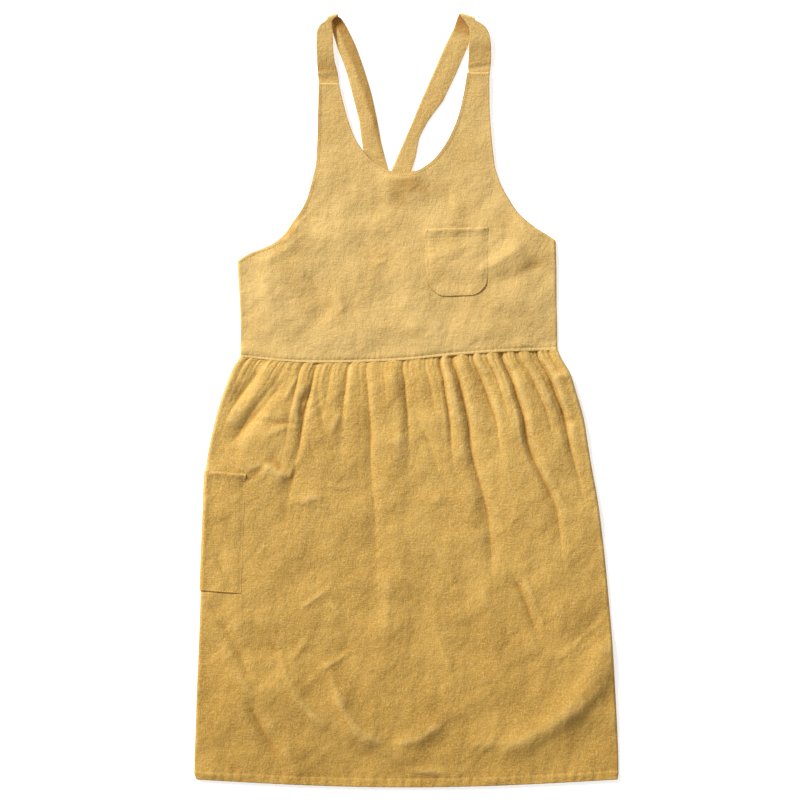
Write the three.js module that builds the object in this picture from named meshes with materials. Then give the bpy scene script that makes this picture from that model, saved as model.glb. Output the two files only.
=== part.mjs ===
// Kitchen apron: a pinafore in washed cotton, laid flat on its back.
// Millimetres, +Z up. The hem points to -Y, the straps to +Y, and the front faces up.
// While it is drawn, x = 0 is the middle of the waist and y = 0 the left end of the waist seam.

import * as THREE from 'three';

// The garment as it lies
const waistWidth = 445;
const bodiceHeight = 386; // waist seam to the left strap seam
const skirtLength = 592; // waist seam to hem, along the left fold
const hemWidth = 595;
const panelDip = 50; // of the back panel's top edge in its middle
const seamWander = 10; // how far the waist seam strays from straight
const hemBow = 11; // how far the middle of the hem hangs below its corners
const sideRoll = 9; // how far the rounding of a side fold reaches in

// Straps
const strapWidth = 28;
const strapRise = 96; // left strap seam to the top of the strap
const foldRadius = 3.5; // of the strap's middle, where it turns over
const strapTuck = 8; // sewn in under the shoulder tab
const strapSewn = 24; // sewn down on the back panel
const strapSettle = 25; // length in which a strap comes down from the one it crosses
const strapRamp = 10; // length in which it rises onto the back panel
const strapSwing = 40; // length in which its cross lines swing round to the fold's slant

// Pockets
const chestPocketWidth = 90;
const chestPocketDepth = 95;
const chestPocketCorner = 24;
const sidePocketHeight = 168;
const sidePocketFront = 57; // from the side fold, on the front
const sidePocketBack = 72; // from the side fold, on the back
const pocketHem = 12;
const pocketRamp = 20; // length in which the skirt's back rises over the side pocket

// Cloth
const clothWall = 1.4;
const strapWall = 2;
const hemWall = 2.2;
const seamWall = 2.6; // the topstitched ridge along the waist
const seamDepth = 4;
const hemDepth = 11;
const stitchStep = 1.2; // where a hem's thickness ends
const seamLap = 6; // of the skirt's top edge, inside the bodice
const clearance = 0.35; // between cloths that touch

// Heights
const innerGap = 4.6; // free between the front and the back, at the waist
const gatherHeight = 9; // of the fullest gather
const backRipple = 1.5;
const tabLift = 2; // of the shoulder tabs over their straps

const halfWaist = waistWidth / 2;
const flare = hemWidth - waistWidth;
const lapUnder = clothWall + clearance; // underside of what lies on one cloth
const skirtUnder = 2 * clothWall + clearance + innerGap;
const bibWaistUnder = skirtUnder + clothWall + clearance;
const bibNeckUnder = 2 * strapWall + 3 * clearance;
const bibTabUnder = strapWall + clearance + tabLift;
const pocketLift = clothWall + 2 * clearance;
const lapInset = (seamWall + clothWall) / 2 + 2 * clearance;
const pocketEase = 2 * clearance + clothWall; // how far the raised cloth runs past the pocket
const pocketOff = clothWall + 1.5 * clearance; // from the skirt's middle surface to the pocket's
const pocketSpan = sidePocketHeight / skirtLength;
const bibSlope = 0.35; // share of the bib's height where it starts to come down to the straps
const bibSettle = 0.4; // share of the bib's height over which the waist seam's course fades
const dentStart = 24; // no dent nearer to the waist seam than this

// The bib's side edges from the waist up, then its armholes.
// out = share of half the waist, up = share of the bodice height, drop = how far the edge comes down.
const bibRungs = [
  { leftOut: 0.995, leftUp: 0.0, rightOut: 1.0, rightUp: 0.025, drop: 1 },
  { leftOut: 0.995, leftUp: 0.07, rightOut: 0.998, rightUp: 0.095, drop: 1 },
  { leftOut: 0.995, leftUp: 0.145, rightOut: 0.996, rightUp: 0.167, drop: 1 },
  { leftOut: 1.0, leftUp: 0.215, rightOut: 0.994, rightUp: 0.234, drop: 1 },
  { leftOut: 1.008, leftUp: 0.287, rightOut: 0.993, rightUp: 0.33, drop: 1 },
  { leftOut: 1.013, leftUp: 0.348, rightOut: 0.989, rightUp: 0.423, drop: 1 },
  { leftOut: 0.94, leftUp: 0.375, rightOut: 0.93, rightUp: 0.446, drop: 0.85 },
  { leftOut: 0.817, leftUp: 0.403, rightOut: 0.852, rightUp: 0.47, drop: 0.7 },
  { leftOut: 0.722, leftUp: 0.439, rightOut: 0.743, rightUp: 0.521, drop: 0.6 },
  { leftOut: 0.653, leftUp: 0.49, rightOut: 0.69, rightUp: 0.573, drop: 0.55 },
  { leftOut: 0.577, leftUp: 0.569, rightOut: 0.6435, rightUp: 0.6275, drop: 0.5 },
  { leftOut: 0.527, leftUp: 0.678, rightOut: 0.61, rightUp: 0.685, drop: 0.5 },
];
const panelRungs = 6; // the back panel ends at this many rungs, at the underarm
const neck = { out: -0.016, up: 0.671 }; // lowest point of the neckline

// Armhole (outer) and neckline (inner) of each shoulder tab, from the neckline's lowest point up.
const leftTab = [
  { out: 0.519, up: 0.7036, inOut: 0.085, inUp: 0.6855 },
  { out: 0.5155, up: 0.7326, inOut: 0.167, inUp: 0.7145 },
  { out: 0.513, up: 0.7653, inOut: 0.224, inUp: 0.7508 },
  { out: 0.51, up: 0.8088, inOut: 0.274, inUp: 0.7943 },
  { out: 0.508, up: 0.8668, inOut: 0.3186, inUp: 0.8632 },
  { out: 0.5055, up: 0.9285, inOut: 0.35, inUp: 0.9285 },
  { out: 0.503, up: 0.9956, inOut: null, inUp: 0.9956 },
];
const rightTab = [
  { out: 0.6025, up: 0.7145, inOut: 0.123, inUp: 0.6746 },
  { out: 0.595, up: 0.7435, inOut: 0.243, inUp: 0.7145 },
  { out: 0.589, up: 0.776, inOut: 0.325, inUp: 0.7616 },
  { out: 0.582, up: 0.823, inOut: 0.375, inUp: 0.8088 },
  { out: 0.5747, up: 0.8886, inOut: 0.407, inUp: 0.8777 },
  { out: 0.572, up: 0.961, inOut: 0.434, inUp: 0.9575 },
  { out: 0.571, up: 1.0337, inOut: null, inUp: 1.0337 },
];

// The waist seam's course: across = share of the waist, rise = share of seamWander.
const seamCourse = [
  { across: 0, rise: 0 },
  { across: 0.17, rise: -0.7 },
  { across: 0.38, rise: -0.7 },
  { across: 0.52, rise: -0.4 },
  { across: 0.65, rise: 0.2 },
  { across: 0.79, rise: 0.7 },
  { across: 1, rise: 1.05 },
];

// Side folds of the skirt: down = share of the skirt, left and right = share of each side's flare.
const leftFlareShare = 0.43;
const skirtSides = [
  { down: 0, left: 0, right: 0 },
  { down: 0.02, left: 0.13, right: 0.06 },
  { down: 0.05, left: 0.25, right: 0.19 },
  { down: 0.1, left: 0.42, right: 0.31 },
  { down: 0.16, left: 0.57, right: 0.43 },
  { down: 0.22, left: 0.69, right: 0.5 },
  { down: 0.28, left: 0.76, right: 0.57 },
  { down: 0.35, left: 0.785, right: 0.66 },
  { down: 0.45, left: 0.825, right: 0.75 },
  { down: 0.58, left: 0.87, right: 0.84 },
  { down: 0.7, left: 0.91, right: 0.91 },
  { down: 0.8, left: 0.95, right: 0.95 },
  { down: 0.9, left: 0.98, right: 0.985 },
  { down: 0.97, left: 1, right: 1 },
  { down: 1, left: 0.96, right: 0.985 },
];

// Valleys between the front gathers, from left to right, as shares of the skirt's width:
// at the waist, at the hip and below. depth = share of the gathers' height, reach = share of the skirt.
const hipDown = 0.18;
const thighDown = 0.4;
const frontValleys = [
  { waist: 0.0765, hip: 0.025, thigh: 0.03, depth: 0.7, reach: 0.2, crest: 0.85 },
  { waist: 0.152, hip: 0.075, thigh: 0.075, depth: 0.8, reach: 0.26, crest: 0.95 },
  { waist: 0.203, hip: 0.198, thigh: 0.15, depth: 0.5, reach: 0.14, crest: 0.85 },
  { waist: 0.247, hip: 0.238, thigh: 0.205, depth: 1, reach: 0.38, crest: 1 },
  { waist: 0.295, hip: 0.294, thigh: 0.28, depth: 0.5, reach: 0.14, crest: 0.9 },
  { waist: 0.345, hip: 0.344, thigh: 0.35, depth: 0.6, reach: 0.17, crest: 0.9 },
  { waist: 0.404, hip: 0.426, thigh: 0.4345, depth: 0.9, reach: 0.6, crest: 1 },
  { waist: 0.456, hip: 0.4726, thigh: 0.49, depth: 0.45, reach: 0.1, crest: 0.9 },
  { waist: 0.5155, hip: 0.526, thigh: 0.54, depth: 1, reach: 0.2, crest: 1 },
  { waist: 0.585, hip: 0.609, thigh: 0.61, depth: 0.5, reach: 0.14, crest: 0.9 },
  { waist: 0.63, hip: 0.6395, thigh: 0.66, depth: 0.8, reach: 0.24, crest: 0.8 },
  { waist: 0.672, hip: 0.69, thigh: 0.719, depth: 1, reach: 0.5, crest: 1 },
  { waist: 0.731, hip: 0.765, thigh: 0.785, depth: 0.6, reach: 0.22, crest: 0.9 },
  { waist: 0.778, hip: 0.8, thigh: 0.835, depth: 0.5, reach: 0.14, crest: 0.85 },
  { waist: 0.823, hip: 0.84, thigh: 0.895, depth: 1, reach: 0.46, crest: 1 },
  { waist: 0.8766, hip: 0.908, thigh: 0.935, depth: 0.6, reach: 0.2, crest: 0.9 },
  { waist: 0.9336, hip: 0.9506, thigh: 0.97, depth: 0.9, reach: 0.3, crest: 0.8 },
];

// How full the skirt stands down its length, as a share of the gathers' height.
const fullness = [
  { down: 0, puff: 0 },
  { down: 0.012, puff: 0.5 },
  { down: 0.03, puff: 0.9 },
  { down: 0.055, puff: 1 },
  { down: 0.12, puff: 0.88 },
  { down: 0.2, puff: 0.62 },
  { down: 0.3, puff: 0.42 },
  { down: 0.45, puff: 0.3 },
  { down: 0.6, puff: 0.22 },
  { down: 1, puff: 0.06 },
];

// Broad soft folds low on the skirt, each on a curve of three points in shares of the hem's width and
// the skirt's length. size = half its breadth, rise = its height, as shares of the gathers' height.
const softFolds = [
  { x1: 0.98, y1: 0.7, x2: 0.9, y2: 0.86, x3: 0.74, y3: 0.92, size: 1.9, rise: 0.42 },
  { x1: 0.02, y1: 0.58, x2: 0.12, y2: 0.74, x3: 0.24, y3: 0.96, size: 1.8, rise: 0.3 },
  { x1: 0.2, y1: 0.78, x2: 0.33, y2: 0.88, x3: 0.5, y3: 0.93, size: 1.7, rise: 0.28 },
  { x1: 0.48, y1: 0.2, x2: 0.5, y2: 0.45, x3: 0.46, y3: 0.7, size: 2.4, rise: 0.22 },
  { x1: 0.66, y1: 0.35, x2: 0.74, y2: 0.6, x3: 0.7, y3: 0.78, size: 2.2, rise: 0.2 },
];

// Broad dents in the bib: a line from one point to the other, in shares of half the waist and of the
// bodice height. size and rise are shares of the gathers' height.
const bibDents = [
  { x1: -0.85, y1: 0.33, x2: -0.45, y2: 0.08, size: 2.2, rise: 0.11 },
  { x1: -0.3, y1: 0.5, x2: -0.05, y2: 0.22, size: 2.0, rise: -0.1 },
  { x1: 0.75, y1: 0.36, x2: 0.6, y2: 0.1, size: 2.2, rise: 0.1 },
  { x1: -0.45, y1: 0.7, x2: -0.3, y2: 0.5, size: 1.8, rise: 0.07 },
];

// Straps: their seams sit at the ends of the shoulder tabs. foldOut and endOut place the fold and the
// sewn end, as shares of half the waist; bow = how far the back part curves aside, as a share of its
// width; layer = how many straps lie under it where they cross.
const straps = [
  { name: 'strap_left', tab: leftTab, side: -1, foldOut: -0.43, endOut: 0.065, bow: 0.4, layer: 0 },
  { name: 'strap_right', tab: rightTab, side: 1, foldOut: 0.475, endOut: -0.35, bow: 0.2, layer: 1 },
];

const chestPocketPlace = { out: 0.361, up: 0.4669, tilt: 0.033 }; // middle of its top edge
const sidePocketTop = 0.268; // share of the skirt

// Numbers of cells
const halfCells = 10; // across half the bib
const panelCells = 14;
const backGathers = 7;
const strapCells = 4;
const pocketCells = 8;
const rollSteps = [0, 0.15, 0.5, 1];

const clamp = (value) => Math.min(Math.max(value, 0), 1);
const mix = (a, b, t) => a + (b - a) * t;

function smooth(value) {
  const t = clamp(value);
  return t * t * (3 - 2 * t);
}

// Height of a side fold's rounding, from 0 at the fold to 1 where the cloth lies level.
function rollAt(distance, reach) {
  const t = 1 - clamp(distance / reach);
  return Math.sqrt(1 - t * t);
}

// Reads one column of a table at a value of its key column.
function read(table, key, at, column) {
  let i = 0;
  while (i < table.length - 2 && table[i + 1][key] < at) i += 1;
  const t = clamp((at - table[i][key]) / (table[i + 1][key] - table[i][key]));
  return mix(table[i][column], table[i + 1][column], t);
}

// Distance from a point to a line through given points.
function distanceTo(x, y, line) {
  const point = new THREE.Vector3(x, y, 0);
  const near = new THREE.Vector3();
  let least = Infinity;
  for (let i = 0; i + 1 < line.length; i += 1) {
    new THREE.Line3(line[i], line[i + 1]).closestPointToPoint(point, true, near);
    least = Math.min(least, near.distanceTo(point));
  }
  return least;
}

const swell = (distance, size) => Math.exp(-((distance / size) ** 2));

// A point of a cloth's middle surface, given by the height of its underside.
const clothPoint = (x, y, under, wall = clothWall) => ({ x, y, z: under + wall / 2, wall });

// Thickens a cloth's middle surface both ways along its normals into one closed solid.
// Each strip is a list of rows of points, and strips that share points are joined.
function clothSolid(name, strips, colour) {
  const corners = [];
  const known = new Map();
  const faces = [];
  const cornerOf = (point) => {
    const key = [point.x, point.y, point.z].map((value) => value.toFixed(3)).join();
    if (!known.has(key)) {
      known.set(key, corners.length);
      const at = new THREE.Vector3(point.x, point.y, point.z);
      corners.push({ at, wall: point.wall, normal: new THREE.Vector3() });
    }
    return known.get(key);
  };
  for (const rows of strips) {
    for (let r = 0; r + 1 < rows.length; r += 1) {
      for (let c = 0; c + 1 < rows[r].length; c += 1) {
        const a = cornerOf(rows[r][c]);
        const b = cornerOf(rows[r][c + 1]);
        const d = cornerOf(rows[r + 1][c + 1]);
        const e = cornerOf(rows[r + 1][c]);
        faces.push([a, b, d], [a, d, e]);
      }
    }
  }
  const outline = new Map();
  for (const face of faces) {
    const [p, q, r] = face.map((corner) => corners[corner].at);
    const normal = q.clone().sub(p).cross(r.clone().sub(p));
    for (const corner of face) corners[corner].normal.add(normal);
    for (let i = 0; i < 3; i += 1) {
      const [from, to] = [face[i], face[(i + 1) % 3]];
      if (!outline.delete(`${to},${from}`)) outline.set(`${from},${to}`, [from, to]);
    }
  }
  const position = [];
  for (const side of [0.5, -0.5]) {
    for (const corner of corners) {
      const shift = corner.normal.clone().normalize().multiplyScalar(side * corner.wall);
      position.push(...corner.at.clone().add(shift).toArray());
    }
  }
  const below = corners.length;
  const index = [];
  for (const [a, b, c] of faces) {
    index.push(a, b, c);
    index.push(a + below, c + below, b + below);
  }
  for (const [from, to] of outline.values()) {
    index.push(from + below, to + below, to);
    index.push(from + below, to, from);
  }
  const geometry = new THREE.BufferGeometry();
  geometry.setAttribute('position', new THREE.Float32BufferAttribute(position, 3));
  geometry.setIndex(index);
  const material = new THREE.MeshStandardMaterial({ color: colour, roughness: 0.95, metalness: 0 });
  const mesh = new THREE.Mesh(geometry, material);
  mesh.name = name;
  return mesh;
}

// Bodice

const seamY = (x) => {
  const across = clamp((x + halfWaist) / waistWidth);
  return seamWander * read(seamCourse, 'across', across, 'rise');
};

// Underside of the bib away from its edges.
function bibUnder(x, y) {
  const neckHeight = neck.up * bodiceHeight;
  let under = mix(bibWaistUnder, bibNeckUnder, smooth((y / neckHeight - bibSlope) / (1 - bibSlope)));
  if (y > neckHeight) {
    under = mix(bibNeckUnder, bibTabUnder, smooth((y - neckHeight) / (bodiceHeight - neckHeight)));
  }
  for (const dent of bibDents) {
    const from = new THREE.Vector3(dent.x1 * halfWaist, dent.y1 * bodiceHeight, 0);
    const to = new THREE.Vector3(dent.x2 * halfWaist, dent.y2 * bodiceHeight, 0);
    const near = swell(distanceTo(x, y, [from, to]), dent.size * gatherHeight);
    under += dent.rise * gatherHeight * near * smooth(y / dentStart);
  }
  return under;
}

// A point of the bib, brought down towards a nearby edge.
function bibPoint(x, y, distance, drop, wall) {
  const under = bibUnder(x, y);
  const reach = drop === 1 ? sideRoll : 4 * sideRoll;
  const low = mix(under, lapUnder, drop);
  return clothPoint(x, y, mix(low, under, rollAt(distance, reach)), wall);
}

// Shares of a row where its columns stand: close together in the rounding at each end.
function columnShares(width, cells, roll = sideRoll) {
  const steps = rollSteps.map((step) => (step * roll) / width);
  const shares = [...steps];
  const inner = cells - 2 * (rollSteps.length - 1);
  for (let i = 1; i < inner; i += 1) shares.push(mix(steps.at(-1), 1 - steps.at(-1), i / inner));
  for (const step of steps.reverse()) shares.push(1 - step);
  return shares;
}

// Shares of a half row from its outer edge to the middle.
function halfShares(width) {
  const steps = rollSteps.map((step) => (step * sideRoll) / width);
  const last = steps.at(-1);
  const inner = halfCells - rollSteps.length + 1;
  for (let i = 1; i <= inner; i += 1) steps.push(mix(last, 1, i / inner));
  return steps;
}

// The rungs of the bib as lengths, with the ridge of the waist seam put in.
function bibRows() {
  const ladder = bibRungs.map((rung) => ({
    left: -rung.leftOut * halfWaist,
    leftY: rung.leftUp * bodiceHeight,
    right: rung.rightOut * halfWaist,
    rightY: rung.rightUp * bodiceHeight,
    drop: rung.drop,
    wall: clothWall,
  }));
  ladder[0].leftY = seamY(ladder[0].left);
  ladder[0].rightY = seamY(ladder[0].right);
  const raised = (height, wall) => ({
    ...ladder[0],
    leftY: ladder[0].leftY + height,
    rightY: ladder[0].rightY + height,
    wall,
  });
  ladder.splice(1, 0, raised(seamDepth, seamWall), raised(seamDepth + stitchStep, clothWall));
  ladder[0].wall = seamWall;
  return ladder;
}

// One row of the bib, straight across but for the waist seam's course and the neckline's lowest point.
function bibRow(rung, isNeckRow) {
  const width = rung.right - rung.left;
  const half = halfShares(width / 2).map((share) => share / 2);
  const shares = [...half, ...half.slice(0, -1).reverse().map((share) => 1 - share)];
  const neckX = neck.out * halfWaist;
  const up = (rung.leftY / bodiceHeight) / neck.up;
  const middle = (rung.left + rung.right) / 2;
  return shares.map((share) => {
    const centred = 1 - Math.abs(2 * share - 1);
    const x = mix(rung.left, rung.right, share) + (neckX - middle) * centred * up;
    const straight = mix(seamY(rung.left), seamY(rung.right), share);
    const course = (seamY(x) - straight) * (1 - smooth(up / bibSettle));
    let y = mix(rung.leftY, rung.rightY, share) + course;
    if (isNeckRow) y = mix(y, neck.up * bodiceHeight, centred);
    const distance = Math.min(share, 1 - share) * width;
    return bibPoint(x, y, distance, rung.drop, rung.wall);
  });
}

// One shoulder tab, from the row at the neckline's lowest point up to the strap seam.
function tabRows(tab, side, start) {
  const rows = [start];
  tab.forEach((rung, i) => {
    const innerOut = rung.inOut === null ? rung.out - strapWidth / halfWaist : rung.inOut;
    const outer = new THREE.Vector2(side * rung.out * halfWaist, rung.up * bodiceHeight);
    const inner = new THREE.Vector2(side * innerOut * halfWaist, rung.inUp * bodiceHeight);
    const width = outer.distanceTo(inner);
    const drop = mix(0.5, 0.1, (i + 1) / tab.length); // of the armhole; the neckline rests on a strap
    const row = halfShares(width).map((share) => {
      const at = outer.clone().lerp(inner, share);
      return bibPoint(at.x, at.y, share * width, drop, clothWall);
    });
    rows.push(side < 0 ? row : row.reverse());
  });
  return rows;
}

function makeBib() {
  const ladder = bibRows();
  const body = ladder.map((rung, i) => bibRow(rung, i === ladder.length - 1));
  const top = body.at(-1);
  const left = tabRows(leftTab, -1, top.slice(0, halfCells + 1));
  const right = tabRows(rightTab, 1, top.slice(halfCells));
  return clothSolid('bib_front', [body, left, right], '#dfbb77');
}

// Height of the back panel's top edge.
function panelTop(x) {
  const edge = bibRungs[panelRungs - 1];
  const across = clamp((x / halfWaist + edge.leftOut) / (edge.leftOut + edge.rightOut));
  return mix(edge.leftUp, edge.rightUp, across) * bodiceHeight - panelDip * Math.sin(Math.PI * across);
}

function makeBackPanel() {
  const rows = bibRungs.slice(0, panelRungs).map((rung, i) => {
    const left = -rung.leftOut * halfWaist;
    const right = rung.rightOut * halfWaist;
    return columnShares(right - left, panelCells).map((share) => {
      const x = mix(left, right, share);
      const dip = panelDip * Math.sin(Math.PI * share) * (i / (panelRungs - 1));
      const y = mix(rung.leftUp, rung.rightUp, share) * bodiceHeight - dip;
      return clothPoint(x, i === 0 ? seamY(x) : y, 0);
    });
  });
  return clothSolid('back_panel', [rows], '#d3ac66');
}

// Skirt

// Rows of the skirt from the waist down, shared by its front and its back: the part inside the bodice
// (lap), then shares of the skirt's length.
function skirtRows() {
  const rows = [{ lap: seamLap }, { lap: -1.5 * clearance }];
  const top = sidePocketTop;
  const end = top + pocketSpan;
  const ease = pocketEase / skirtLength;
  const ramp = pocketRamp / skirtLength;
  const waistRows = [0.012, 0.03, 0.055, 0.085, 0.12, 0.16, 0.2];
  const pocketRows = [top - ease - ramp, top - ease, top];
  for (const share of [0.2, 0.4, 0.6, 0.8, 1]) pocketRows.push(top + share * pocketSpan);
  pocketRows.push(end + ease, end + ease + ramp);
  const hem = 1 - hemDepth / skirtLength;
  const start = end + ease + ramp;
  const lowRows = [0.17, 0.34, 0.52, 0.7, 0.86].map((share) => mix(start, hem, share));
  const hemRows = [hem - stitchStep / skirtLength, hem, 1];
  for (const down of [...waistRows, ...pocketRows, ...lowRows, ...hemRows]) rows.push({ down });
  return rows.map((row) => ({
    ...row,
    down: row.down ?? 0,
    wall: row.down >= hem ? hemWall : clothWall,
  }));
}

// Left and right ends of a row; inside the bodice the skirt keeps clear of its sides.
function skirtEnds(row) {
  const inset = row.lap === undefined ? 0 : lapInset;
  const widen = (column, share) => read(skirtSides, 'down', row.down, column) * flare * share;
  return {
    left: -bibRungs[0].leftOut * halfWaist - widen('left', leftFlareShare) + inset,
    right: bibRungs[0].rightOut * halfWaist + widen('right', 1 - leftFlareShare) - inset,
  };
}

function skirtY(row, x, share) {
  if (row.lap !== undefined) return seamY(x) + row.lap;
  const seam = seamY(mix(-halfWaist, halfWaist, share)) * (1 - row.down);
  return seam - row.down * skirtLength - hemBow * Math.sin(Math.PI * share) * row.down;
}

// Rise of the skirt's left side where the pocket passes under it.
function pocketRise(row, distance) {
  const past = (value, low, high) => Math.max(low - value, value - high, 0);
  const ease = pocketEase / skirtLength;
  const along = past(row.down, sidePocketTop - ease, sidePocketTop + pocketSpan + ease) * skirtLength;
  const aside = past(distance, 0, sidePocketBack + pocketEase);
  return pocketLift * clamp(1 - along / pocketRamp) * clamp(1 - aside / pocketRamp);
}

// Where a valley of the front gathers runs, as a share of the row.
function valleyShare(valley, down) {
  if (down < hipDown) return mix(valley.waist, valley.hip, smooth(down / hipDown));
  return mix(valley.hip, valley.thigh, smooth((down - hipDown) / (thighDown - hipDown)));
}

// Underside of the front's crests at a place given by shares.
function crestUnder(row, share) {
  if (row.lap !== undefined) return skirtUnder;
  let under = skirtUnder + gatherHeight * read(fullness, 'down', row.down, 'puff');
  const x = share * hemWidth;
  const y = row.down * skirtLength;
  for (const fold of softFolds) {
    const points = [1, 2, 3].map(
      (i) => new THREE.Vector3(fold[`x${i}`] * hemWidth, fold[`y${i}`] * skirtLength, 0),
    );
    const line = new THREE.QuadraticBezierCurve3(...points).getPoints(6);
    under += fold.rise * gatherHeight * swell(distanceTo(x, y, line), fold.size * gatherHeight);
  }
  return under;
}

// The front's rim rests on the back's edge; inside the bodice both rest one cloth higher.
const restUnder = (row) => (row.lap === undefined ? 1 : 2) * lapUnder;
const rimUnder = (row) => restUnder(row) + pocketRise(row, 0);

function skirtFrontRow(row) {
  const { left, right } = skirtEnds(row);
  const width = right - left;
  const roll = rollSteps.map((step) => (step * sideRoll) / width);
  const shares = [...roll];
  const height = roll.map(() => 1);
  let last = roll.at(-1);
  for (const valley of frontValleys) {
    const at = valleyShare(valley, row.down);
    const fade = 1 - smooth((row.down - 0.4 * valley.reach) / (0.6 * valley.reach));
    shares.push((last + at) / 2, at);
    height.push(mix(1, valley.crest, fade), 1 - valley.depth * fade);
    last = at;
  }
  shares.push((last + 1 - roll.at(-1)) / 2);
  height.push(1);
  for (const step of [...roll].reverse()) {
    shares.push(1 - step);
    height.push(1);
  }
  return shares.map((share, i) => {
    const x = mix(left, right, share);
    const crest = mix(skirtUnder, crestUnder(row, share), height[i]);
    const distance = Math.min(share, 1 - share) * width;
    const rim = share < 0.5 ? rimUnder(row) : restUnder(row);
    const under = mix(rim, crest, rollAt(distance, sideRoll));
    return clothPoint(x, skirtY(row, x, share), under, row.wall);
  });
}

function skirtBackRow(row) {
  const { left, right } = skirtEnds(row);
  const width = right - left;
  const pocketEnd = sidePocketBack + pocketEase;
  const offsets = [0, sideRoll / 2, sideRoll, pocketEnd / 2, pocketEnd, pocketEnd + pocketRamp];
  const shares = offsets.map((offset) => offset / width);
  const height = offsets.map(() => 0);
  const start = shares.at(-1);
  const stop = 1 - sideRoll / width;
  for (let i = 1; i < 2 * backGathers; i += 1) {
    shares.push(mix(start, stop, i / (2 * backGathers)));
    height.push(i % 2);
  }
  shares.push(stop, 1);
  height.push(0, 0);
  const puff = row.lap === undefined ? read(fullness, 'down', row.down, 'puff') : 0;
  return shares.map((share, i) => {
    const x = mix(left, right, share);
    const floor = row.lap === undefined ? 0 : lapUnder;
    const under = floor + backRipple * puff * height[i] + pocketRise(row, share * width);
    return clothPoint(x, skirtY(row, x, share), under, row.wall);
  });
}

function makeSkirt() {
  const rows = skirtRows();
  const front = rows.map(skirtFrontRow).reverse();
  const back = rows.map(skirtBackRow).reverse();
  return [
    clothSolid('skirt_front', [front], '#cda45c'),
    clothSolid('skirt_back', [back], '#c69d55'),
  ];
}

// Straps

// Height of a strap's middle at its start under the tab, where it lies, and at its sewn end.
const strapStart = bibTabUnder - clearance - strapWall / 2;
const strapFloor = strapWall / 2;
const strapEnd = lapUnder + strapWall / 2;

function strapPlan(strap) {
  const seam = strap.tab.at(-1);
  const start = new THREE.Vector2(
    strap.side * (seam.out * halfWaist - strapWidth / 2),
    seam.up * bodiceHeight - strapTuck,
  );
  const fold = new THREE.Vector2(
    strap.foldOut * halfWaist,
    leftTab.at(-1).up * bodiceHeight + strapRise,
  );
  const endX = strap.endOut * halfWaist;
  const end = new THREE.Vector2(endX, panelTop(endX) - strapSewn);
  const up = fold.clone().sub(start).normalize();
  const down = end.clone().sub(fold).normalize();
  return { start, fold, end, up, down };
}

// How far a strap's back part stands aside from its straight line, at a share of its length:
// furthest in its first third.
function bowAt(strap, plan, share) {
  const aside = new THREE.Vector2(plan.down.y, -plan.down.x).multiplyScalar(strap.side);
  return aside.multiplyScalar(strap.bow * strapWidth * Math.sin(Math.PI * Math.sqrt(clamp(share))));
}

// Distance from a strap's fold at which the other strap crosses its back part.
function crossing(strap, plan, otherStrap, other) {
  let meet = plan.end.distanceTo(plan.fold) / 2;
  for (let i = 0; i < 3; i += 1) {
    const ownBow = bowAt(strap, plan, meet / plan.end.distanceTo(plan.fold));
    const otherBow = bowAt(otherStrap, other, meet / other.end.distanceTo(other.fold));
    const between = other.fold.clone().add(otherBow).sub(plan.fold).sub(ownBow);
    meet = between.cross(other.down) / plan.down.cross(other.down);
  }
  return meet;
}

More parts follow.
